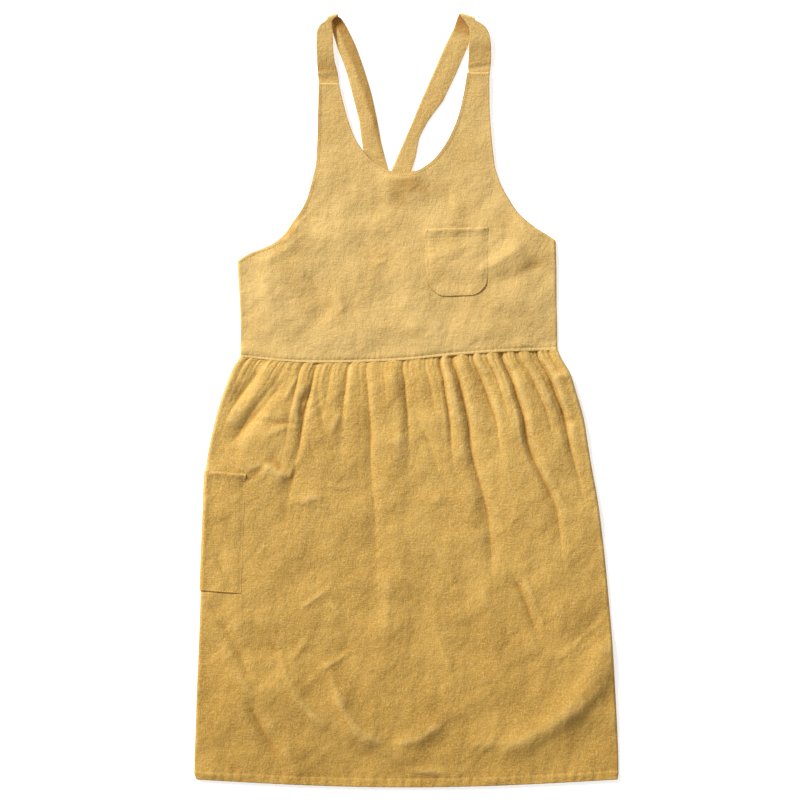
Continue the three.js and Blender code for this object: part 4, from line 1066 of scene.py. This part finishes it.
def makeSkirtFront():
    down = skirtRowsAt(skirt["rows"])
    columns = graded(skirt["nominalWidth"], skirt["columns"], (0, 0.5, 1.2, 2.2, 3.6, 5.4, 7.4, 9.5))
    share = np.broadcast_to(columns, (len(down), len(columns)))
    left, right = skirtEnds(down)
    x = mix(left[:, None], right[:, None], share)
    y = skirtY(down[:, None], share)
    z = skirtFrontHeights(down, share, x, y)
    width = (right - left)[:, None]
    distance = np.minimum(share, 1 - share) * width
    rise = np.where(share < 0.5, pocketRise(down[:, None], 0 * share), 0)
    rim = lapUnder + rise + garment["clothWall"] / 2
    z = mix(rim, z, rollAt(distance, garment["sideRoll"]))
    # the hem is folded up twice, and its stitching draws it into small puckers
    fromHem = (1 - down)[:, None] * skirtLength
    fold = skirt["hemFold"] * (1 - smooth((fromHem - skirt["hem"]) / 1.6))
    groove = -0.45 * np.exp(-((fromHem - skirt["hem"]) / 1.1) ** 2)
    pull = np.sin(x * 0.42 + 1.7 * np.sin(x * 0.051)) + 0.6 * np.sin(x * 0.83 + y * 0.5)
    pucker = 0.35 * pull * np.exp(-((fromHem - 8) / 9) ** 2) * smooth(distance / 20)
    z = z + fold + groove + pucker
    wall = np.where(fromHem < skirt["hem"], skirt["hemCloth"], garment["cloth"]) + 0 * x
    at = np.stack([x, y, z], -1)
    flat = np.stack([share * skirt["flatWidths"][0], -down[:, None] * skirtLength + 0 * share], -1)

    def lapHeights(distance):
        foot = lapUnder + garment["sideFoot"]
        return mix(foot, skirtUnder, smooth(distance / garment["sideSettle"])) + garment["clothWall"] / 2

    return sewSkirt("skirtFrontCloth", at, flat, wall, columns, lapHeights, 0.5)


skirtFront = makeSkirtFront()
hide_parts("skirt_front")


def makeSkirtBack():
    down = skirtRowsAt(skirt["backRows"])
    columns = graded(skirt["nominalWidth"], skirt["backColumns"])
    share = np.broadcast_to(columns, (len(down), len(columns)))
    left, right = skirtEnds(down)
    x = mix(left[:, None], right[:, None], share)
    y = skirtY(down[:, None], share)
    puffKeys, puffs = np.array(skirt["puff"]).T
    puff = np.interp(down, puffKeys, puffs)[:, None]
    distance = share * (right - left)[:, None]
    start = sidePocketCut["back"] + sidePocketCut["ease"] + sidePocketCut["ramp"]
    far = (distance - start) / ((right - left)[:, None] - start - garment["sideRoll"])
    ripple = np.where((far > 0) & (far < 1), np.abs(np.sin(far * math.pi * skirt["ripples"])) ** 1.5, 0)
    z = skirt["rippleHeight"] * puff * ripple + pocketRise(down[:, None], distance) + garment["clothWall"] / 2
    fromHem = (1 - down)[:, None] * skirtLength
    z = z + 0.2 * (1 - smooth((fromHem - skirt["hem"]) / 1.6))
    wall = np.where(fromHem < skirt["hem"], skirt["backHemCloth"], garment["cloth"]) + 0 * x
    at = np.stack([x, y, z], -1)
    flat = np.stack([share * skirt["flatWidths"][1], -down[:, None] * skirtLength + 0 * share], -1)

    def lapHeights(distance):
        return 0 * distance + lapUnder + garment["clothWall"] / 2

    return sewSkirt("skirtBackCloth", at, flat, wall, columns, lapHeights, 0.6)


skirtBack = makeSkirtBack()
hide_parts("skirt_back")


chestPocket = {
    "middle": (0.361, 0.4669),  # of its mouth, in shares of half the waist and of the bodice's height
    "tilt": 0.033,
    "width": 90.0,
    "depth": 95.0,
    "corner": 26.0,
    "lean": 3.5,  # how much each side draws in towards the bottom
    "hem": 11.4,  # of the mouth's stitching from its edge
    "edge": 2.8,  # of the other stitching from the edge
    "cloth": 1.1,
    "cornerRows": 15.0,  # height of the close rows at the bottom
}


def pocketSpot(across, depth):
    turn = chestPocket["tilt"]
    midX, midY = chestPocket["middle"][0] * halfWaist, chestPocket["middle"][1] * bodiceHeight
    x = across * math.cos(turn) + depth * math.sin(turn)
    y = across * math.sin(turn) - depth * math.cos(turn)
    return x + midX, y + midY


def pocketHalf(depth):
    corner = chestPocket["corner"]
    turned = np.clip(depth - (chestPocket["depth"] - corner), 0, corner)
    half = chestPocket["width"] / 2 - corner + np.sqrt(corner ** 2 - turned ** 2)
    return half - chestPocket["lean"] * depth / chestPocket["depth"]


# A pocket's turned edge, with the groove of its stitching.
def pocketSeam(distance, stitch):
    return 0.15 * (1 - smooth((distance - 1.8) / 1.0)) - 0.12 * np.exp(-((distance - stitch) / 0.8) ** 2)


def makeChestPocket():
    bottom, corner = chestPocket["depth"], chestPocket["cornerRows"]
    depthSteps = np.concatenate([
        [0, 0.7, 1.6, 2.6], np.linspace(4, 9, 4), [10.2, 11.2, 12, 12.8, 13.8],
        np.linspace(16, bottom - corner, 46), bottom - corner * (1 - np.linspace(0.08, 1, 14) ** 0.6),
    ])
    half = pocketHalf(depthSteps)[:, None]
    spread = graded(chestPocket["width"], 82, (0, 0.6, 1.3, 2.0, 2.8, 3.8, 5.2))[None, :] * 2 - 1
    x, y = pocketSpot(half * spread, depthSteps[:, None] + 0 * spread)
    deep = depthSteps[:, None]
    aside = half * (1 - np.abs(spread))
    edge = np.minimum(aside, bottom - deep + 0 * spread)
    z = bibUnder(x, y) + lapUnder + garment["clothWall"] / 2 - 0.4
    z = z + 0.15 * washedCloth(x + 40, y, 1.0, 60)
    hem = 0.15 * (1 - smooth((deep - 10.6) / 1.6)) - 0.12 * np.exp(-((deep - chestPocket["hem"]) / 1.0) ** 2)
    fold = 0.8 * smooth((deep + 0.3) / 2.2) * (1 - smooth((deep - 1.6) / 8))
    seam = np.where(deep > 3, pocketSeam(edge, chestPocket["edge"]), 0)
    sunk = 1.0 * (1 - smooth(aside / 10)) * (1 - smooth((deep - 68) / 18)) + 0.3 * smooth((deep - 84) / 10)
    z = z + hem + fold + seam - sunk
    wall = chestPocket["cloth"] - 0.6 * (1 - smooth(edge / 2.5))
    at = np.stack([x, y, z], -1)[::-1]
    # painted shade along the pocket's edges, strongest at its bottom, and at the corners of its mouth
    rim = (1 - smooth(edge / 1.7)) * mix(0.3, 1.05, smooth((deep - 66) / 7)) * smooth(deep / 2)
    for spot in (1.2, 5.2):
        rim = rim + 0.9 * np.exp(-((aside - spot) / 0.9) ** 2 - ((deep - 1.4) / 1.1) ** 2)
    patch = {"at": at, "flat": at[:, :, :2].copy(), "wall": wall[::-1], "inside": rim[::-1]}
    return sewCloth("chestPocketCloth", [patch], bibCloth)


chest = makeChestPocket()
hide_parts("chest_pocket")


# The side pocket runs from the skirt's back round its fold on to the front.
def makeSidePocket():
    depth, reach, back = sidePocketCut["depth"], sidePocketCut["front"], sidePocketCut["back"]
    off = garment["clothWall"] + 1.5 * garment["clearance"]
    roll = garment["sideRoll"]
    half = garment["clothWall"] / 2
    steps = graded(depth, 96, (0, 0.7, 1.7, 2.7, 3.7, 5, 7))
    down = sidePocketCut["top"] + steps * pocketSpan
    left, right = skirtEnds(down)
    width = (right - left)[:, None]
    rim = (lapUnder + pocketRise(down, 0 * down) + half)[:, None]
    behind = np.concatenate([back - np.array([0, 0.8, 1.8, 2.8]), np.linspace(back - 6, 0, 22)])
    turn = np.linspace(0, math.pi / 2, 8)[1:]
    rise = np.linspace(0, math.pi / 2, 12)
    front = np.concatenate([np.linspace(roll, reach - 5, 32)[1:], reach - np.array([3.7, 2.7, 1.7, 0.7, 0])])
    offset = np.concatenate([behind, -off * np.sin(turn), roll - (roll + off) * np.cos(rise), front])
    offset = np.broadcast_to(offset, (len(down), len(offset)))
    inside = np.maximum(offset, 0)
    share = inside / width
    x = left[:, None] + offset
    y = skirtY(down[:, None], share)
    z = skirtFrontHeights(down, share, left[:, None] + inside, y)
    # its columns behind the skirt, round the fold, up over it and on the front
    turnAt, riseAt, frontAt = np.cumsum([len(behind), len(turn), len(rise)])
    z[:, :turnAt] = half
    z[:, turnAt:riseAt] = half + off * (1 - np.cos(turn))
    z[:, riseAt:frontAt] = rim + (z[:, riseAt:frontAt] - rim + off) * np.sin(rise)
    z[:, frontAt:] += off
    onFront = np.arange(offset.shape[1]) >= riseAt
    z -= 0.5 * smooth((offset - 1) / 8) * onFront
    along = steps[:, None] * depth
    topFold = 1.3 * smooth((along + 0.3) / 2.6) * (1 - smooth((along - 2) / 10))
    topFold = topFold - 0.3 * (1 - smooth(along / 2))
    seam = pocketSeam(np.minimum(depth - along, reach - offset), sidePocketCut["edge"])
    front = smooth((offset - 4) / 6) * onFront
    corner = np.maximum(1 - smooth(along / 12), 1 - smooth((depth - along) / 12))
    z = z + front * (topFold + seam) - (1.15 - 0.3 * corner) * smooth((offset - reach + 14) / 13) * onFront
    wall = mix(sidePocketCut["cloth"], 0.5, smooth((offset - reach + 6) / 5.5) * onFront) + 0 * along
    run = np.concatenate([[0], np.cumsum(np.hypot(np.diff(offset[0]), np.diff(z[30])))])
    flat = np.stack([run[None, :] + 0 * x, -along + 0 * x], -1)
    at = np.stack([x, y, z], -1)
    patch = {"at": at[::-1], "flat": flat[::-1], "wall": wall[::-1]}
    return sewCloth("sidePocketCloth", [patch], skirtCloth)


sidePocket = makeSidePocket()
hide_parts("side_pocket")


strap = {
    "width": 28.0,
    "rise": 96.0,  # of the top fold over the tabs
    "wall": 2.0,  # room that the strap has in the frame
    "thick": 1.7,
    "edgeThick": 1.1,
    "foldRadius": 3.5,
    "tuck": 8.0,  # under the tab
    "sewn": 24.0,  # on to the back panel
    "settle": 25.0,  # lengths over which it comes down from a crossing, up to the panel and out of its fold
    "ramp": 10.0,
    "swing": 40.0,
    "columns": 26,
    "pitch": 1.7,  # from row to row
    # lie: from the fold, before it and after it, how far the left edge and the right edge lie off
    # painted shade of folds: height of each shaded fold above the strap's start, width, how dark
    "left": {
        "side": -1, "foldOut": -0.43, "endOut": 0.065, "bow": 0.4, "layer": 0,
        "folds": [(31, 9, 0.5), (14.5, 1.6, 0.5)],
        "lie": [
            (-88, 0, 0), (-77, -1.7, -2), (-63, -2.8, -6.4), (-49, -3.9, -8.5), (-35, -4.6, -9.2),
            (-21, -4.5, -10.2), (-14, -3.1, -11.2), (-7, 1, -11.5), (-3, 7, -9), (0, 10, -4.2),
            (20, 3.6, -3.4), (42, 2, -1.2), (81, 3.5, 0.4), (114, 3.2, 1.1), (149, 3.2, -0.3),
            (165, 1, -1.2), (184, -0.8, -2.3), (201, -1, -2), (225, -0.6, -1), (300, 0, 0),
        ],
    },
    "right": {
        "side": 1, "foldOut": 0.475, "endOut": -0.35, "bow": 0.2, "layer": 1,
        "folds": [(25, 1.6, 0.5), (42, 7, 0.25)],
        "lie": [
            (-80, 0, 0), (-71, -0.5, 1.8), (-61, 0.8, 4), (-49, 2.2, 5.4), (-35, 4.3, 6.2),
            (-28, 5.5, 5.9), (-21, 6.2, 5.2), (-17, 6.2, 4.2), (-13, 3.6, 2.8), (-7, 0.4, -1.7),
            (-4, -2, -5.6), (0, -5, -13), (8, -2, -7), (20, 0.6, -2), (42, 0.3, 1.9), (82, 2.2, 3.8),
            (124, 2.7, 3), (143, 3, -2.6), (155, 3.8, -5.8), (178, 3.9, -7.4), (195, 3.9, -3.6),
            (207, 3.9, -0.5), (222, 4.2, 1.1), (245, 4.3, 2.6), (300, 0, 0),
        ],
    },
}


def panelTop(x):
    left, right = bib["rungs"][bib["underarm"]][0], bib["rungs"][bib["underarm"]][2]
    across = min(max((x / halfWaist + left) / (left + right), 0), 1)
    leftUp, rightUp = bib["rungs"][bib["underarm"]][1], bib["rungs"][bib["underarm"]][3]
    return mix(leftUp, rightUp, across) * bodiceHeight - backPanelCut["dip"] * math.sin(math.pi * across)


def strapPlan(which):
    tab = bib["leftTab"] if which["side"] < 0 else bib["rightTab"]
    startX = which["side"] * (tab[-1][0] * halfWaist - strap["width"] / 2)
    start = Vector((startX, tab[-1][1] * bodiceHeight - strap["tuck"]))
    fold = Vector((which["foldOut"] * halfWaist, bib["leftTab"][-1][1] * bodiceHeight + strap["rise"]))
    endX = which["endOut"] * halfWaist
    end = Vector((endX, panelTop(endX) - strap["sewn"]))
    up, down = (fold - start).normalized(), (end - fold).normalized()
    return {"start": start, "fold": fold, "end": end, "up": up, "down": down}


def bowAt(which, plan, share):
    aside = Vector((plan["down"].y, -plan["down"].x)) * which["side"]
    return aside * (which["bow"] * strap["width"] * math.sin(math.pi * math.sqrt(min(max(share, 0), 1))))


def cross2(a, b):
    return a.x * b.y - a.y * b.x


# How far behind its fold a strap meets the other.
def crossing(which, plan, otherWhich, other):
    length, otherLength = (plan["end"] - plan["fold"]).length, (other["end"] - other["fold"]).length
    meet = length / 2
    for _ in range(3):
        there = other["fold"] + bowAt(otherWhich, other, meet / otherLength)
        between = there - plan["fold"] - bowAt(which, plan, meet / length)
        meet = cross2(between, other["down"]) / cross2(plan["down"], other["down"])
    return meet


# Wrinkles run across the front part, and one long crease down the part behind. Also gives the painted shade
# of the strap's folds, and on the left strap beside its crease.
def strapWrinkles(which, stations, sides, frontLength, behind):
    half = strap["width"] / 2
    s, w = np.meshgrid(stations, sides, indexing="ij")
    frontPart = smooth((s - 10) / 6) * (1 - smooth((s - frontLength + 8) / 8))
    creased = 0.35 * latticeNoise(s / 7 + 0.15 * w, w / 40 + which["side"], 71 + which["layer"]) * frontPart
    creased += 0.5 * np.exp(-((s - 22 - 0.12 * w) / 3.2) ** 2)
    creased -= 0.5 * np.exp(-((s - 16 - 0.1 * w) / 3.0) ** 2)
    backPart = smooth((s - behind - 6) / 20) * (1 - smooth((s - behind - 150) / 40))
    creased += 0.25 * latticeNoise(s / 16, w / 9, 75 + which["layer"]) * backPart
    # painted shade of the strap's folds
    shade = sum(dark * np.exp(-((s - height) / wide) ** 2) for height, wide, dark in which["folds"])
    if which["side"] < 0:
        # the left strap is creased lengthwise, with painted shade on one side of the crease
        line = -3 + 14 * smooth((s - behind - 10) / 220)
        ridge = np.clip(1 - np.abs(w - line) / np.where(w > line, half - line, half + line), 0, 1)
        creased += (2.2 * ridge + 1.0 * ridge * (1 - smooth((w - line) / 1.6))) * backPart
        shadeBehindFold = smooth((s - behind + 4) / 14) * (1 - smooth((s - behind - 190) / 40))
        shade = shade + 0.6 * smooth((w - line) / 2 + 0.5) * shadeBehindFold
    else:
        creased += 0.6 * np.exp(-((w - 3) / 5.0) ** 2) * backPart
    return creased, shade


def makeStrap(name, key, node):
    which = strap[key]
    otherWhich = strap["right" if key == "left" else "left"]
    plan, other = strapPlan(which), strapPlan(otherWhich)
    axis = (plan["up"] + plan["down"]).normalized()
    if axis.x < 0:
        axis = -axis
    outward = Vector((-axis.y, axis.x))
    across = Vector((plan["up"].y, -plan["up"].x))
    rise = (plan["fold"] - plan["start"]).length
    radius, wall = strap["foldRadius"], strap["wall"]
    turnStart, turnLength = -radius - wall / 2, math.pi * radius
    climb = plan["up"].dot(outward)
    skew = -across.dot(outward) / climb
    frontLength = rise + turnStart / climb
    backLength = (plan["end"] - plan["fold"]).length
    meet = crossing(which, plan, otherWhich, other)
    angle = plan["down"].angle(other["down"])
    hold = (strap["width"] / 2) * (1 + math.cos(angle)) / math.sin(angle) + strap["settle"] / 4
    backStart = -turnStart / climb
    panelAt = backLength - strap["sewn"] - strap["width"] * abs(plan["down"].x)
    behind = frontLength + turnLength / climb
    floorZ, startZ = wall / 2, garment["tabUnder"] - 0.35 - wall / 2
    endZ = lapUnder + wall / 2
    low = np.linspace(0, frontLength, int(frontLength / strap["pitch"]))
    over = np.linspace(frontLength, behind, 16)[1:]
    back = np.linspace(behind, behind + backLength - backStart, int(backLength / strap["pitch"]))[1:]
    stations = np.concatenate([low, over, back])
    half = strap["width"] / 2
    sides = graded(strap["width"], strap["columns"], (0, 0.5, 1.3, 2.4, 3.6)) * strap["width"] - half
    points = np.zeros((len(stations), len(sides), 3))
    inside = np.zeros((len(stations), len(sides)))
    lieKeys, lieLeft, lieRight = np.array(which["lie"], float).T
    for r, along in enumerate(stations):
        away = max(frontLength - along, along - behind)
        slant = skew * (1 - float(smooth(away / strap["swing"])))
        for c, side in enumerate(sides):
            s = along + slant * side
            start = plan["start"] + plan["up"] * s + across * side - plan["fold"]
            reach = start.dot(outward) - turnStart
            turn = min(max(reach / turnLength, 0), 1) * math.pi
            beyond = max(reach - turnLength, 0)
            out = reach if reach < 0 else radius * math.sin(turn) - beyond
            at = plan["fold"] + axis * start.dot(axis) + outward * (turnStart + out)
            backAt = beyond / climb + backStart if beyond > 0 else 0
            at = at + bowAt(which, plan, (backAt - backStart) / (backLength - backStart))
            if turn == 0:
                z = mix(startZ, floorZ + 2 * radius, float(smooth((s - strap["tuck"] - 4) / 46)))
            elif backAt == 0:
                z = floorZ + radius * (1 + math.cos(turn))
            else:
                crossed = 1 - float(smooth((abs(backAt - meet) - hold) / strap["settle"]))
                sewn = float(smooth((backAt - panelAt + strap["ramp"]) / strap["ramp"]))
                z = floorZ + max(which["layer"] * (wall + 0.35) * crossed, (endZ - floorZ) * sewn)
            spot = reach if reach < 0 else beyond
            lies = [np.interp(spot, lieKeys, values) for values in (lieLeft, lieRight)]
            aside = mix(*lies, side / strap["width"] + 0.5)
            # painted shade inside the strap's turned fold, fading out behind it
            inside[r, c] = smooth((turn - 1.2) / 1.2) * (1 - smooth((spot - 8) / 30))
            outer = max(side * which["side"] / strap["width"] + 0.5, 0)
            drop = 1.2 * outer ** 2 * (1 - float(smooth(abs(spot) / 14)))
            points[r, c] = (at.x + aside, at.y - drop, z)
    creased, shade = strapWrinkles(which, stations, sides, frontLength, behind)
    s, w = np.meshgrid(stations, sides, indexing="ij")
    points[:, :, 2] += creased * np.where(s < strap["tuck"] + 2, 0, 1)
    thick = mix(strap["edgeThick"], strap["thick"], smooth(np.minimum(w + half, half - w) / 1.4 + 0.25))
    flat = np.stack([s, w + 60 * which["side"]], -1)
    patch = {"at": points, "flat": flat, "wall": thick, "inside": inside, "shade": shade}
    made = sewCloth(name, [patch], strapCloth)
    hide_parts(node)
    return made


strapLeft = makeStrap("strapLeftCloth", "left", "strap_left")
strapRight = makeStrap("strapRightCloth", "right", "strap_right")


# A line beside a curve, on its left if positive.
def beside(curve, distance):
    way = np.gradient(curve, axis=0)
    way /= np.linalg.norm(way, axis=1, keepdims=True)
    return curve + np.column_stack([-way[:, 1], way[:, 0]]) * distance


def makeStitches():
    waistX = np.linspace(-halfWaist + 6, halfWaist - 6, 120)
    waistLine = np.column_stack([waistX, seamY(waistX) + 3.5])
    inset = bib["edgeStitch"]
    edgeLines = [
        beside(armholes[0], -inset)[2:-2],
        beside(armholes[1], inset)[2:-2],
        beside(neckCurve, -inset)[3:-3],
    ]
    tabLines = []
    for side, tab in ((-1, bib["leftTab"]), (1, bib["rightTab"])):
        out, up, inOut, inUp = tab[-1]
        for drop in (2.8, 4.2):
            a = np.array([side * out * halfWaist, up * bodiceHeight - drop])
            b = np.array([side * inOut * halfWaist, inUp * bodiceHeight - drop])
            tabLines.append([mix(a, b, 0.06), mix(a, b, 0.94)])
    neckwise = runStitches("bibStitches", bibFront, [waistLine, *edgeLines, *tabLines], thread)

    share = np.linspace(0.02, 0.98, 160)
    down = np.full_like(share, 1 - skirt["hem"] / skirtLength)
    left, right = skirtEnds(down)
    hemLine = np.column_stack([mix(left, right, share), skirtY(down, share)])
    hemwise = runStitches("hemStitches", skirtFront, [hemLine], thread)

    bottom, corner, edge = (chestPocket[key] for key in ("depth", "cornerRows", "edge"))
    turn = (corner - edge) * (1 - np.linspace(0.1, 1, 12) ** 0.6)
    depths = np.concatenate([np.linspace(1.5, bottom - corner, 40), bottom - edge - turn])
    halves = pocketHalf(depths) - edge
    rightSide = np.column_stack(pocketSpot(halves, depths))
    leftSide = np.column_stack(pocketSpot(-halves, depths))
    outline = np.vstack([leftSide, rightSide[::-1]])
    mouth = np.column_stack(pocketSpot(np.linspace(-42, 42, 20), np.full(20, chestPocket["hem"])))
    # the corners of the mouth are tacked with five short rows
    tacks = [
        np.column_stack(pocketSpot(np.array([sign * 42.0, sign * 38.0]), np.full(2, 1.2 + row * 0.6)))
        for sign in (-1, 1) for row in range(5)
    ]
    pocketwise = runStitches("chestPocketStitches", chest, [outline, mouth, *tacks], thread)

    top, reach, edge = (sidePocketCut[key] for key in ("top", "front", "edge"))
    down = top + np.linspace(0.03, 0.985, 60) * pocketSpan
    left, right = skirtEnds(down)
    lines = [np.column_stack([left + reach - edge, skirtY(down, (reach - edge) / (right - left))])]
    across = np.linspace(3, reach - 3, 20)
    for v in (top + 3.7 / skirtLength, top + pocketSpan - edge / skirtLength):
        down = np.full_like(across, v)
        left, right = skirtEnds(down)
        lines.append(np.column_stack([left + across, skirtY(down, across / (right - left))]))
    sidewise = runStitches("sidePocketStitches", sidePocket, lines, thread)
    return neckwise, hemwise, pocketwise, sidewise


bibStitches, hemStitches, chestStitches, sideStitches = makeStitches()
studio = {
    "field": 1.12,  # metres across the picture
    "middle": (-0.0092, 0.0),
    "lens": 85.0,
    "film": 36.0,
    "sunTurn": 134.0,  # degrees from +X, over +Y
    "sunHeight": 28.0,
    "sunSoft": 20.0,
    "sunStrength": 6.1,
    "fill": 0.40,
    "floor": (0.93, 0.93, 0.93),
    "floorReach": 14,
    "glow": 0.55,  # the floor shines a little, as a light table does
}


def makeStudio():
    scene = bpy.context.scene
    floorMaterial = bpy.data.materials.new("paleFloor")
    floorMaterial.use_nodes = True
    nodes, links = floorMaterial.node_tree.nodes, floorMaterial.node_tree.links
    shader = nodes["Principled BSDF"]
    shader.inputs["Roughness"].default_value = 0.9
    shader.inputs["Specular IOR Level"].default_value = 0.1
    shader.inputs["Emission Color"].default_value = (1, 1, 1, 1)
    shader.inputs["Emission Strength"].default_value = studio["glow"]
    grain = nodes.new("ShaderNodeTexNoise")
    grain.inputs["Scale"].default_value = 3
    blend = nodes.new("ShaderNodeMix")
    blend.data_type = "RGBA"
    blend.inputs[6].default_value = (*[c * 0.99 for c in studio["floor"]], 1)
    blend.inputs[7].default_value = (*studio["floor"], 1)
    links.new(grain.outputs["Fac"], blend.inputs[0])
    links.new(blend.outputs[2], shader.inputs["Base Color"])
    mesh = bpy.data.meshes.new("floor")
    reach, down = studio["floorReach"], -0.0003
    corners = [(-reach, -reach, down), (reach, -reach, down), (reach, reach, down), (-reach, reach, down)]
    mesh.from_pydata(corners, [], [(0, 1, 2, 3)])
    mesh.materials.append(floorMaterial)
    floor = bpy.data.objects.new("floor", mesh)
    scene.collection.objects.link(floor)

    world = bpy.data.worlds.new("studio")
    world.use_nodes = True
    sky = world.node_tree.nodes["Background"]
    sky.inputs["Color"].default_value = (1.0, 0.99, 0.975, 1)
    sky.inputs["Strength"].default_value = studio["fill"]
    scene.world = world

    sun = bpy.data.lights.new("softKey", "SUN")
    sun.energy = studio["sunStrength"]
    sun.angle = math.radians(studio["sunSoft"])
    sun.color = (1.0, 0.985, 0.96)
    lamp = bpy.data.objects.new("softKey", sun)
    turn, height = math.radians(studio["sunTurn"]), math.radians(studio["sunHeight"])
    towards = Vector((math.cos(turn) * math.cos(height), math.sin(turn) * math.cos(height), math.sin(height)))
    lamp.rotation_mode = "QUATERNION"
    lamp.rotation_quaternion = towards.to_track_quat("Z", "Y")
    lamp.location = towards * 4
    scene.collection.objects.link(lamp)

    camera = bpy.data.cameras.new("above")
    camera.lens = studio["lens"]
    camera.sensor_width = studio["film"]
    camera.clip_start, camera.clip_end = 0.05, 60
    holder = bpy.data.objects.new("above", camera)
    away = studio["field"] * studio["lens"] / studio["film"]
    holder.location = (*studio["middle"], away + 0.008)
    scene.collection.objects.link(holder)
    scene.camera = holder
    scene.view_settings.view_transform = "Standard"


makeStudio()
print("studio ready")
